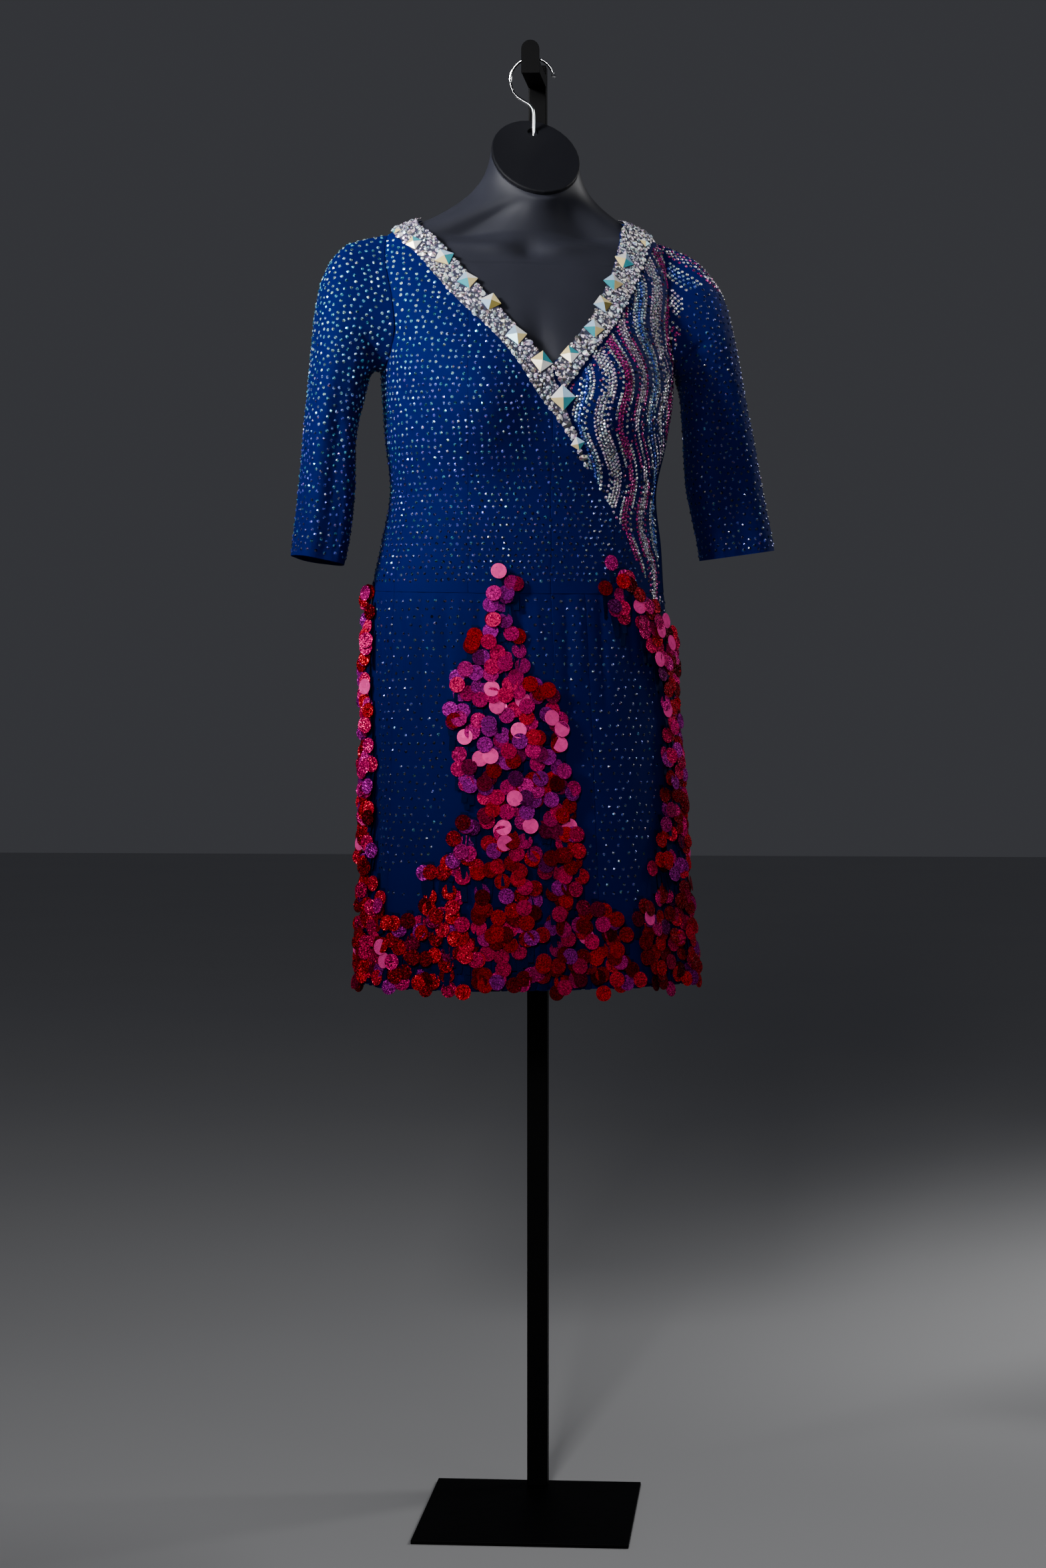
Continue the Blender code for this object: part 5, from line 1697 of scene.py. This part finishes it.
@dataclass
class BandStones:
    """The jewelled band: large square stones among ovals and rounds laid close together."""

    look: Finishes
    panels: list[Panel]
    top: float = BAND_LIFT + BAND_T - STONE_SUNK
    reach: float = 1.38  # a square's half diagonal, in its radii
    seed: int = 31

    def squares(self, right: bool) -> Spots:
        """The large square stones of one part of the band."""
        turn, z, radius, spin = (BAND_SQUARES_R if right else BAND_SQUARES_L).columns()
        tint = np.full((len(turn), 3), 0.95)
        return Spots(self.place(turn, z), raised_out(turn, z), radius / self.reach, tint, np.radians(spin))

    def place(self, turn: Array, z: Array) -> Array:
        """Points on the band's ground."""
        return raised(turn, z, self.top)

    def fill(self, panel: Panel, taken: Spots, seed: int) -> tuple[Spots, Spots]:
        """Ovals and rounds between the large stones, in falling sizes.

        Args:
            panel: the band's ground.
            taken: the large stones.
            seed: seed of the draw.

        Returns:
            The ovals and the rounds.
        """
        rng = np.random.default_rng(seed)
        rows = len(panel.left[0])
        at, size = taken.points, taken.radius * 1.08
        found: list[Spots] = []
        for radius, long, tries in BAND_FILL:
            row, share = rng.uniform(0, rows - 1, tries), rng.uniform(0, 1, tries)
            (turn_l, z_l), (turn_r, z_r) = (
                [np.interp(row, np.arange(rows), line) for line in edge]
                for edge in (panel.left, panel.right)
            )
            turn, z = turn_l + (turn_r - turn_l) * share, z_l + (z_r - z_l) * share
            wide = np.linalg.norm(self.place(turn_r, z_r) - self.place(turn_l, z_l), axis=1)
            inside = (share * wide > radius * 0.45) & ((1 - share) * wide > radius * 0.45)
            turn, z = turn[inside], z[inside]
            points = self.place(turn, z)
            pick = apart(points, np.full(len(points), radius * (1.06 if long > 1 else 0.92)), at, size)
            count, points = len(pick), points[pick]
            tint = BAND_TINTS[rng.integers(0, len(BAND_TINTS), count)] * rng.uniform(0.7, 1.0, (count, 1))
            normals, spin = raised_out(turn[pick], z[pick]), rng.uniform(0, np.pi, count)
            across = np.full(count, radius * 0.96)
            found.append(Spots(points, normals, across, tint, spin, np.full(count, long)))
            at, size = np.concatenate([at, points]), np.concatenate([size, np.full(count, radius)])
        return found[0], Spots.merged(found[1:])

    def build(self) -> dict[str, list[Object]]:
        """Builds both parts' stones; returns them by the band's node."""
        made = {}
        for number, (panel, word) in enumerate(zip(self.panels, ("right", "left"))):
            squares = self.squares(word == "right")
            ovals, rounds = self.fill(panel, squares, self.seed + number)
            groups = {"squares": squares, "ovals": ovals, "rounds": rounds}
            cuts = (StoneCut.SQUARE, StoneCut.ROUND, StoneCut.ROUND)
            made[f"neck_band_{word}"] = [
                stone_piece(f"band_{word}_{kind}", cut, spots, self.look)
                for (kind, spots), cut in zip(groups.items(), cuts)
            ]
        return made


SILVER, PALE, FUCHSIA = (1.0, 0.95, 1.0), (0.95, 0.66, 0.90), (0.62, 0.006, 0.27)
ROYAL, ICE = (0.08, 0.16, 0.90), (0.40, 0.66, 1.0)
# Tints of each wave, from its middle row out, and of the dark stones between the waves.
WAVE_TINTS = (
    (SILVER, SILVER, PALE),
    (FUCHSIA, FUCHSIA, SILVER),
    (SILVER, PALE, FUCHSIA),
    (ROYAL, ICE, SILVER),
)
WAVE_GROUND = np.array([(0.02, 0.03, 0.12), (0.05, 0.06, 0.34), (0.40, 0.02, 0.16), (0.02, 0.02, 0.06)])


@dataclass
class Ornament:
    """Even waves of close stones over the wearer's left front and shoulder, dark stones between."""

    look: Finishes
    step: float = 0.00405
    row_step: float = 0.93  # between a wave's rows, in steps
    radius: float = 0.00205
    reach: float = 0.00192  # half the least distance between two stones
    wave: float = 0.118
    swing: float = 0.0085
    period: float = 0.0262
    foot: float = 1.098
    slant: float = 0.16
    ground_pitch: float = 0.0072
    cap_degree: float = 0.00092
    cap_ring: float = 0.0265

    def waves(self, across: tuple[float, float], down: tuple[float, float]) -> tuple[Array, Array, Array]:
        """Every stone of the waves, the middle rows first.

        Args:
            across: the range across the waves, in metres.
            down: the range along them, in metres.

        Returns:
            The places across and along the waves, and the tints.
        """
        places, tints, order = [], [], []
        t = np.arange(down[0], down[1], 0.0004)
        bends = self.swing * np.sin(2 * np.pi * t / self.wave)
        for k in range(int(math.floor(across[0] / self.period)) - 1, int(across[1] / self.period) + 2):
            middle = k * self.period + bends
            length = run_lengths(np.hypot(np.diff(middle), np.diff(t)))
            at = np.arange(0, length[-1], self.step)
            x, y = np.interp(at, length, middle), np.interp(at, length, t)
            slope = unit(np.stack([np.gradient(x), np.gradient(y)], axis=-1))
            for row in range(-2, 3):
                shift = (row % 2) * 0.5 * self.step
                side = row * self.step * self.row_step
                row_x = x + side * slope[:, 1] + shift * slope[:, 0]
                row_y = y - side * slope[:, 0] + shift * slope[:, 1]
                places.append(np.stack([row_x, row_y], axis=-1))
                tints.append(np.tile(WAVE_TINTS[k % len(WAVE_TINTS)][abs(row)], (len(at), 1)))
                order.append(np.full(len(at), abs(row)))
        rank = np.argsort(np.concatenate(order), kind="stable")
        places, tints = np.concatenate(places)[rank], np.concatenate(tints)[rank]
        return places[:, 0], places[:, 1], tints

    @staticmethod
    def outer_edge(z: Array) -> Array:
        """Turn of the side seam and of the armhole's edge."""
        arc = ARMHOLE_SPREAD * np.sqrt(np.clip(1 - ((z - ARMHOLE_MID) / ARMHOLE_TALL) ** 2, 0, 1))
        return np.where(z < ARMHOLE_LOW, 180.0 - SIDE_TURNS.at("z", "turn", z), arc)

    @staticmethod
    def turn_at(length: Array, z: Array) -> Array:
        """Turns on the bodice.

        Args:
            length: lengths along the cloth from its centre front towards the side.
            z: heights.

        Returns:
            The turns; those beyond the side lie behind it.
        """
        levels = np.linspace(1.095, 1.550, 120)
        turns = np.arange(90.0, -8.0, -1.0)
        steps = np.linalg.norm(np.diff(bodice(turns[None, :], levels[:, None]), axis=1), axis=-1)
        level = np.clip(np.rint((z - levels[0]) / (levels[1] - levels[0])).astype(int), 0, len(levels) - 1)
        turn = np.full(len(length), -90.0)
        for k, run in enumerate(run_lengths(steps.T).T):
            here = level == k
            turn[here] = np.interp(length[here], run, turns, left=99.0, right=-90.0)
        return turn

    def laid(self, name: str, patch: Patch, tint: Array) -> Object:
        """Lays stones on a surface, leaving out those that would touch."""
        points = patch.points()
        pick = apart(points, np.full(len(points), self.reach))
        return patch.some(pick).stones(name, self.radius, tint[pick], 91, self.look)

    def build(self) -> list[Object]:
        """Builds the waves on the bodice with the dark stones between them."""
        x, y, tint = self.waves((-0.02, 0.34), (0.0, 0.45))
        z = self.foot + y
        turn = self.turn_at(x - self.slant * y, z)
        u, v = np.arange(-4.0, 90.0, 2.0), np.linspace(1.1195, 1.545, 220)
        dark_turn, dark_z = rows_of_places(bodice, u, v, self.ground_pitch, 13, SCATTER_WANDER)
        shade = WAVE_GROUND[np.random.default_rng(4).integers(0, len(WAVE_GROUND), len(dark_z))]
        turn, z = np.concatenate([turn, dark_turn]), np.concatenate([z, dark_z])
        keep = in_ornament(turn, z, -0.0008) & (turn > self.outer_edge(z) + 0.7)
        turn, z, tint = turn[keep], z[keep], np.concatenate([tint, shade])[keep]
        return [self.laid("ornament_front", on_body(bodice, turn, z, BODICE_STEP), tint)]

    def build_sleeve(self) -> list[Object]:
        """Builds the waves' runs over the cap of the wearer's left sleeve."""
        shape = SLEEVES["sleeve_left"]
        x, y, tint = self.waves((-0.05, 0.17), (0.0, 0.16))
        around, ring = (x - self.period) / self.cap_degree - 3.0, 0.12 + y / self.cap_ring
        keep = on_cap(around, ring, -0.02)
        return [self.laid("ornament_sleeve", on_sleeve(shape, around[keep], ring[keep]), tint[keep])]


# ---- discs and their strips ----
RED_HUES = np.array(
    [
        (0.70, 0.0, 0.018), (0.80, 0.0, 0.040), (0.46, 0.0, 0.012),
        (0.24, 0.0, 0.008), (0.62, 0.0, 0.080), (0.34, 0.0, 0.012),
    ]
)
PINK_HUES = np.array(
    [
        (0.88, 0.0, 0.190), (0.70, 0.0, 0.260), (0.44, 0.0, 0.320),
        (0.92, 0.0, 0.120), (0.32, 0.0, 0.270), (0.60, 0.0, 0.150),
    ]
)
MIRROR_HUE = np.array([0.84, 0.042, 0.29])
FORWARD = np.array([0.0, -1.0, 0.0])
# How bright a disc's hue shows, and the share of the discs at each brightness; the darkest are partly dark
# discs and partly painted shade of shadowed discs and discs seen edge-on.
DISC_TONES_AND_SHADES, DISC_SHARES = (1.05, 0.9, 0.65, 0.3), (0.4, 0.3, 0.18, 0.12)
# Edges of the centre cluster, of the cluster by the wearer's left side and of the one by the right.
CENTRE_EDGES = Table(
    ("z", "low", "high"),
    (
        (0.76, 76.0, 165.0), (0.79, 78.5, 134.0), (0.852, 76.2, 123.2), (0.906, 78.8, 122.2),
        (0.979, 85.0, 125.0), (1.033, 97.0, 119.0), (1.053, 98.5, 116.5), (1.09, 99.5, 110.5),
        (1.132, 99.0, 106.5),
    ),
)
LEFT_EDGES = Table(
    ("z", "low", "high"),
    (
        (0.76, -14.0, 58.0), (0.787, -14.0, 50.0), (0.865, -14.0, 40.0), (0.943, -12.0, 37.5),
        (1.022, -6.0, 38.5), (1.045, 8.0, 46.0), (1.067, 24.0, 52.5), (1.09, 36.5, 61.5),
        (1.108, 46.5, 64.5), (1.15, 57.5, 63.5),
    ),
)
RIGHT_EDGES = Table(
    ("z", "low", "high"), ((0.760, 167.5, 196.0), (0.94, 170.0, 195.0), (1.117, 174.0, 192.0))
)


@dataclass
class Cluster:
    """One field of discs, each on a strip of cloth sewn to the skirt."""

    name: str
    nodes: list[str]
    panels: list[str]
    inside: Callable[[Array, Array], Array]
    pitch: float
    low: float
    high: float


def between(edges: Table) -> Callable[[Array, Array], Array]:
    """Whether places lie between a table's two edges."""

    def inside(turn: Array, z: Array) -> Array:
        at = wrapped(turn - 90.0) + 90.0
        low, high = edges.at("z", "low", z), edges.at("z", "high", z)
        span = (z >= edges.rows[0][0]) & (z <= edges.rows[-1][0])
        return span & (((at >= low) & (at <= high)) | ((at + 360 >= low) & (at + 360 <= high)))

    return inside


def in_hem(turn: Array, z: Array) -> Array:
    """Whether places lie in the hem's field, which is deeper in front than behind."""
    at = wrapped(turn - 90.0)
    ripple = 0.007 * np.sin(np.radians(9.0 * turn)) + 0.005 * np.sin(np.radians(23.0 * turn))
    dip = 0.030 * np.exp(-(((at + 28.0) / 14.0) ** 2)) + 0.026 * np.exp(-(((at - 52.0) / 16.0) ** 2))
    return z <= np.where(np.abs(at) < 96.0, 0.768 + ripple - dip, 0.706)


@dataclass
class Discs:
    """Every disc and strip on the skirt."""

    look: Finishes
    radius: float = 0.00925
    wander: float = 0.42  # in pitches
    lift: tuple[float, float] = (0.0038, 0.0100)
    tilt: tuple[float, float] = (0.12, 0.055)  # upwards: its mean and its spread
    swing: float = 0.075  # spread of the sideways tilt
    side_lean: float = 0.85  # how far the discs at the sides turn forwards
    mirrors: tuple[float, float] = (0.025, 0.075)  # share of mirror discs: low down, and what height adds
    strip_long: tuple[float, float] = (0.034, 0.050)
    strip_half: float = 0.0040
    strip_thick: float = 0.00035
    seed: int = 70
    made: dict[str, list[Object]] = field(default_factory=dict)

    @staticmethod
    def clusters() -> list[Cluster]:
        """The four fields, with the nodes that they stand for."""
        front = [f"skirt_front_{word}" for word in ("left", "centre", "right")]
        back = [f"skirt_back_{word}" for word in ("left", "right")]
        centre = [f"strips_centre_{i}" for i in range(1, 9)]
        left = [f"strips_side_left_{i}" for i in range(1, 8)]
        right = [f"strips_side_right_{i}" for i in range(1, 7)]
        hem = ["strips_hem_upper", "strips_hem_lower"]
        by_left, by_right = [front[0], back[0]], [front[2], back[1]]
        return [
            Cluster("centre", centre, front, between(CENTRE_EDGES), 0.0146, 0.779, 1.131),
            Cluster("left", left, by_left, between(LEFT_EDGES), 0.0148, 0.779, 1.146),
            Cluster("right", right, by_right, between(RIGHT_EDGES), 0.0148, 0.779, 1.117),
            Cluster("hem", hem, [*front, *back], in_hem, 0.0150, 0.6525, 0.778),
        ]

    def clear_of_discs(self, turn: Array, z: Array) -> Array:
        """Whether places on the skirt lie clear of every field."""
        keep = np.ones(np.shape(turn), bool)
        for cluster in self.clusters():
            for turn_by, z_by in ((0, 0.004), (2.5, 0), (-2.5, 0), (0, 0.012)):
                keep &= ~cluster.inside(turn + turn_by, z - z_by)
        return keep

    def places(self, cluster: Cluster, seed: int) -> Line:
        """Places (turn, z) of a field's discs, from the top row down."""
        u, v = np.arange(-20.0, 341.0, 2.0), np.linspace(cluster.high, cluster.low, 120)
        turn, z = rows_of_places(skirt, u, v, cluster.pitch, seed, self.wander)
        keep = cluster.inside(turn, z)
        return turn[keep], z[keep]

    def discs(
        self, cluster: Cluster, turn: Array, z: Array, rng: np.random.Generator
    ) -> tuple[Spots, Array]:
        """The discs of one field.

        Args:
            cluster: the field.
            turn: the discs' turns.
            z: their heights.
            rng: where the draws come from.

        Returns:
            The discs, and which of them are of mirror film.
        """
        count = len(turn)
        from_front = np.abs(wrapped(turn - 90.0))
        side = np.clip((from_front - 52.0) / 30.0, 0, 1) * np.clip((128.0 - from_front) / 12.0, 0, 1)
        points = skirt(turn, z, 0.0012 * side + rng.uniform(*self.lift, count))
        tilt = self.tilt[0] + rng.normal(0, self.tilt[1], count)
        out = on_body(skirt, turn, z, DISC_STEP).normals()
        across = unit(np.cross(out, UP))
        swing = rng.normal(0, self.swing, (count, 1))
        normals = unit(out + tilt[:, None] * UP + swing * across)
        forward = self.side_lean * side * rng.uniform(0.5, 1.2, count)
        normals = unit(normals + forward[:, None] * FORWARD)
        high = np.clip((z - 0.76) / 0.16, 0, 1)[:, None] * (0.55 + 0.45 * (cluster.name == "centre"))
        cool = rng.random((count, 1)) < 0.22 + 0.60 * high
        red = RED_HUES[rng.integers(0, len(RED_HUES), count)]
        pink = PINK_HUES[rng.integers(0, len(PINK_HUES), count)]
        # The darker tones are partly painted shade.
        tone = rng.choice(DISC_TONES_AND_SHADES, (count, 1), p=DISC_SHARES)
        hue = np.where(cool, pink, red) * tone * (1 + 0.24 * high)
        mirror = rng.random(count) < self.mirrors[0] + self.mirrors[1] * high[:, 0]
        tint = np.clip(np.where(mirror[:, None], MIRROR_HUE, hue), 0, 1)
        spin = rng.uniform(0, ANY_SPIN, count)
        return Spots(points, normals, np.full(count, self.radius), tint, spin), mirror

    def strips(self, name: str, turn: Array, z: Array, rng: np.random.Generator) -> Object:
        """The hanging strips behind a field's discs, joined in one mesh.

        Args:
            name: the piece's name.
            turn: the discs' turns.
            z: their heights.
            rng: where the draws come from.

        Returns:
            The piece.
        """
        rows, count = 6, len(turn)
        share = np.linspace(0, 1, rows)[None, :]
        long = rng.uniform(*self.strip_long, (count, 1))
        top = np.minimum(z[:, None] + 0.012, 1.155)
        height = np.maximum(top - long * share, 0.6475)
        middle = turn[:, None] + rng.normal(0, 0.9, (count, 1)) * share**2
        lift = 0.0006 + (0.0038 + rng.uniform(-0.0012, 0.0012, (count, 1))) * share**0.8
        half = (self.strip_half * (1 - 0.22 * share**4))[..., None]
        twist = (rng.normal(0, 0.22, (count, 1)) * share)[..., None]
        near = skirt(middle, height, lift)
        out = raised_out(middle, height)
        across = unit(np.cross(out, UP)) * np.cos(twist) + out * np.sin(twist)
        thick = self.strip_thick * out
        left, right = near - half * across, near + half * across
        points = np.stack([left, right, right + thick, left + thick], axis=2)
        index = np.arange(count * rows * 4).reshape(count, rows, 4)
        ahead = np.roll(index, -1, axis=2)
        walls = np.stack([index[:, :-1], ahead[:, :-1], ahead[:, 1:], index[:, 1:]], axis=-1)
        caps = np.concatenate([index[:, 0, ::-1], index[:, -1]])
        quads = np.concatenate([walls.reshape(-1, 4), caps])[:, ::-1]
        obj = mesh_object(name, points.reshape(-1, 3), quads.ravel(), np.full(len(quads), 4))
        sides = np.broadcast_to([0, 2 * self.strip_half, 2 * self.strip_half, 0], index.shape)
        down = np.broadcast_to((long * share)[..., None], index.shape)
        return smoothed(obj, 50.0, np.stack([sides, down], axis=-1).reshape(-1, 2)[quads.ravel()])

    def build(self) -> None:
        """Builds every field's discs and strips."""
        for number, cluster in enumerate(self.clusters()):
            rng = np.random.default_rng(self.seed + number)
            turn, z = self.places(cluster, self.seed + 10 + number)
            spots, mirror = self.discs(cluster, turn, z, rng)
            strips = self.strips(f"strips_{cluster.name}", turn, z, rng)
            pieces = [settle(strips, self.look.strip, cluster.nodes)]
            films = (("glitter", self.look.glitter, ~mirror), ("mirror", self.look.mirror, mirror))
            for word, look, pick in films:
                name = f"discs_{cluster.name}_{word}"
                disc = joined(name, StoneCut.DISC.value, spots.some(pick), disc_facets)
                pieces.append(settle(disc, look))
            LOG.info("%s field: %d discs", cluster.name, len(turn))
            for panel in cluster.panels:
                self.made.setdefault(panel, []).extend(pieces)


# ---- form, hook and stand ----
# The loop's middle across, its middle up and its radius; then the points of the wire under it.
HOOK_Y, HOOK_WIRE_R, HOOK_LOOP = 0.0220, 0.0020, (0.0012, 1.7345, 0.0268)
HOOK_STEM = Table(
    ("x", "z"),
    (
        (-0.0222, 1.7195), (-0.0175, 1.7145), (-0.0118, 1.7105), (-0.006, 1.707), (-0.0012, 1.7035),
        (0.0016, 1.699), (0.0027, 1.6935), (0.0028, 1.686), (0.0028, 1.676), (0.0028, 1.6662),
    ),
)
# Places, sizes and depths of the form's hollows; a depth below nothing is a swelling.
FORM_HOLLOWS = Table(
    ("turn", "z", "wide", "tall", "deep"),
    (
        (91.0, 1.521, 5.0, 0.012, 0.0085), (119.0, 1.551, 16.0, 0.021, 0.0165),
        (61.0, 1.551, 16.0, 0.021, 0.0165), (126.0, 1.584, 22.0, 0.022, 0.009),
        (54.0, 1.584, 22.0, 0.022, 0.009), (90.0, 1.594, 42.0, 0.017, 0.0072),
        (104.0, 1.522, 7.0, 0.0075, -0.005), (78.0, 1.522, 7.0, 0.0075, -0.005),
        (116.0, 1.527, 9.0, 0.0065, -0.0034), (66.0, 1.527, 9.0, 0.0065, -0.0034),
        (92.0, 1.392, 4.0, 0.046, 0.009),
    ),
)


@dataclass
class HangingForm:
    """The limbless form, its cap, the wire hook and the stand."""

    look: Finishes
    sides: int = 120
    clear: float = 0.0040
    bottom: float = 0.860
    smoothings: int = 150

    def torso(self) -> Object:
        """The smooth torso with soft collarbones, closed at the foot and under the cap."""
        turns = np.arange(self.sides) * FULL_TURN / self.sides
        waist, chest = np.linspace(0.90, 1.229, 24), np.linspace(1.24, 1.48, 30)
        high = np.concatenate([[self.bottom, 0.864, 0.875], waist, chest, np.linspace(1.486, 1.560, 28)])
        inset = np.interp(
            high,
            (0.860, 0.864, 0.875, 0.92, 1.14, 1.185, 1.229, 1.26),
            (0.020, 0.013, 0.010, 0.008, 0.008, 0.006, 0.005, self.clear),
        )
        rings = [raised(turns, z, -gap - self.hollows(turns, z)) for z, gap in zip(high, inset)]
        for ring, z in zip(rings, high):
            ring[:, 2] = z if z < 1.50 else ring[:, 2]
        keys = NECK.column("z")
        neck = [self.neck_ring(z, turns) for z in np.linspace(keys[1], keys[-1], 22)]
        joint = [rings[-1] * (1 - t) + neck[0] * t for t in np.linspace(0, 1, 12)[1:-1]]
        stack = np.array(rings + joint + neck)
        first = int(np.searchsorted(high, 1.544))
        for _ in range(self.smoothings):
            stack[first:-1] = 0.5 * stack[first:-1] + 0.25 * (stack[first - 1 : -2] + stack[first + 1 :])
        points, count = stack.reshape(-1, 3), len(stack)
        quads = grid_quads(count, self.sides, True)[0]
        foot, top = np.arange(self.sides)[::-1], np.arange(self.sides) + (count - 1) * self.sides
        if not turned_out(points, points * UP, quads):
            quads, foot, top = quads[:, ::-1], foot[::-1], top[::-1]
        corners = np.concatenate([quads.ravel(), foot, top])
        sizes = np.concatenate([np.full(len(quads), 4), [self.sides, self.sides]])
        return smoothed(mesh_object("form_torso_shell", points, corners, sizes), 50.0)

    @staticmethod
    def hollows(turn: Array, z: float) -> Array:
        """Soft hollows above the collarbones and at the throat."""
        depth = np.zeros_like(turn)
        for at, height, wide, tall, deep in FORM_HOLLOWS.rows:
            depth += deep * np.exp(-((wrapped(turn - at) / wide) ** 2) - ((z - height) / tall) ** 2)
        return depth

    def neck_ring(self, z: float, turns: Array) -> Array:
        """One ring of the neck, tipped forwards."""
        half, long, cx, cy, tip = (float(NECK.at("z", name, np.array(z))) for name in NECK.names[1:])
        full = 1.0 - self.hollows(turns, z) / 0.06
        angle, lean = np.radians(turns), math.radians(tip)
        x, y = half * full * np.cos(angle), -long * full * np.sin(angle)
        return to_frame(np.stack([cx + x, cy + y * math.cos(lean), z + y * math.sin(lean)], axis=-1))

    def wire(self) -> Object:
        """The wire hook as one smooth curve."""
        curve = bpy.data.curves.new("hook_wire_round", "CURVE")
        curve.dimensions = "3D"
        curve.bevel_depth, curve.bevel_resolution, curve.use_fill_caps = HOOK_WIRE_R, 6, True
        loop = [
            (HOOK_LOOP[0] + HOOK_LOOP[2] * math.sin(a), HOOK_LOOP[1] + HOOK_LOOP[2] * math.cos(a))
            for a in np.radians(np.arange(72, -117, -4))
        ]
        places = loop + [row[:2] for row in HOOK_STEM.rows]
        spline = curve.splines.new("POLY")
        spline.points.add(len(places) - 1)
        for point, (x, z) in zip(spline.points, places):
            point.co = (x, HOOK_Y, z, 1.0)
        return linked(bpy.data.objects.new("hook_wire_round", curve))

    def build(self) -> None:
        """Builds the torso and the wire, and gives the CAD nodes that stay their finishes."""
        settle(self.torso(), self.look.form, ["form_torso"])
        settle(self.wire(), self.look.chrome, ["hook_wire"])
        for names, look in (
            (("neck_cap",), self.look.cap),
            (("base_plate", "post", "post_extension", "hook_arm", "arm_stop"), self.look.coat),
            (("hook_ball",), self.look.chrome),
        ):
            for name in names:
                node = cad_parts[name]
                node.data.materials.clear()
                node.data.materials.append(look)


# ---- studio ----
@dataclass(frozen=True)
class Lamp:
    """One square soft light aimed at a point."""

    name: str
    at: tuple[float, float, float]
    size: float
    power: float
    aim: tuple[float, float, float]
    spread: float = 180.0

    def build(self) -> None:
        """Sets up the light."""
        lamp = bpy.data.lights.new(self.name, "AREA")
        lamp.size, lamp.energy, lamp.spread = self.size, self.power, math.radians(self.spread)
        obj = linked(bpy.data.objects.new(self.name, lamp))
        way = Vector(self.aim) - Vector(self.at)
        obj.location, obj.rotation_euler = self.at, way.to_track_quat("-Z", "Y").to_euler()


LAMPS = (
    Lamp("key", (-2.1, -1.8, 2.6), 0.8, 8.7, (-0.30, -0.05, 1.62), 28.0),
    Lamp("front", (-0.2, -4.0, 2.2), 0.5, 56.0, (0.0, 0.0, 1.12)),
    Lamp("fill", (2.4, -2.2, 1.6), 1.2, 2.0, (0.0, 0.0, 1.1)),
    Lamp("rim", (1.7, 0.9, 2.2), 0.9, 16.0, (0.0, 0.0, 1.3)),
)


@dataclass
class Studio:
    """Plain floor, soft lights and the camera."""

    camera_at: tuple[float, float, float] = (0.323, -4.018, 1.0085)
    camera_turn: float = 4.71
    lens: float = 76.69
    shift: float = -0.0674
    world_colour: Colour = (0.68, 0.70, 0.80)
    world_strength: float = 0.060

    @staticmethod
    def floor() -> None:
        """A large pale floor."""
        bpy.ops.mesh.primitive_plane_add(size=30.0)
        plane = bpy.context.object
        plane.name = "studio_floor"
        made, tree, shader = new_material("pale_floor")
        place = tree.node("TexCoord").outputs["Object"]
        grain = place_group(tree, Effect.GRAIN, Place=place, Scale=60.0).outputs["Slow"]
        tone = tree.mixed(grain, (0.56, 0.56, 0.57), (0.60, 0.60, 0.605))
        tree.feed(shader, {"Base Color": tone, "Roughness": 0.8})
        plane.data.materials.append(made)

    def world(self) -> None:
        """The dim light from all round."""
        world = bpy.data.worlds.new("studio")
        bpy.context.scene.world = world
        world.use_nodes = True
        background = world.node_tree.nodes["Background"]
        background.inputs[0].default_value = (*self.world_colour, 1.0)
        background.inputs[1].default_value = self.world_strength

    def camera(self) -> None:
        """The camera, upright in front of the stand."""
        data = bpy.data.cameras.new("camera")
        data.sensor_fit, data.sensor_height, data.sensor_width = "VERTICAL", 36.0, 36.0
        data.lens, data.shift_y = self.lens, self.shift
        camera = linked(bpy.data.objects.new("camera", data))
        camera.location = self.camera_at
        camera.rotation_euler = (math.radians(90), 0, math.radians(self.camera_turn))
        bpy.context.scene.camera = camera

    def build(self) -> None:
        """Sets up the floor, the lights, the world and the camera."""
        self.floor()
        for lamp in LAMPS:
            lamp.build()
        self.world()
        self.camera()


def main() -> None:
    """Builds the dress, the form, the stand and the studio."""
    look = Finishes()
    dress = Dress(look)
    dress.build()
    discs = Discs(look)
    discs.build()
    stones = Stones(look)
    front, back = stones.bodice_stones()
    ornament = Ornament(look)
    front_pieces = [front, *ornament.build()]
    on_it = BandStones(look, dress.band_panels()).build()
    for panel in dress.bodice_panels():
        on_it[panel.name] = [back] if "back" in panel.name else front_pieces
    right_sleeve, left_sleeve = stones.sleeve_stones()
    on_it["sleeve_right"] = [right_sleeve]
    on_it["sleeve_left"] = [left_sleeve, *ornament.build_sleeve()]
    skirt_front, skirt_back = stones.skirt_stones(discs.clear_of_discs)
    for name, pieces in discs.made.items():
        on_it[name] = [*pieces, skirt_back if "back" in name else skirt_front]
    dress.declare()
    HangingForm(look).build()
    Studio().build()


if __name__ == "__main__":
    logging.basicConfig(level=logging.INFO, format="%(message)s")
    main()
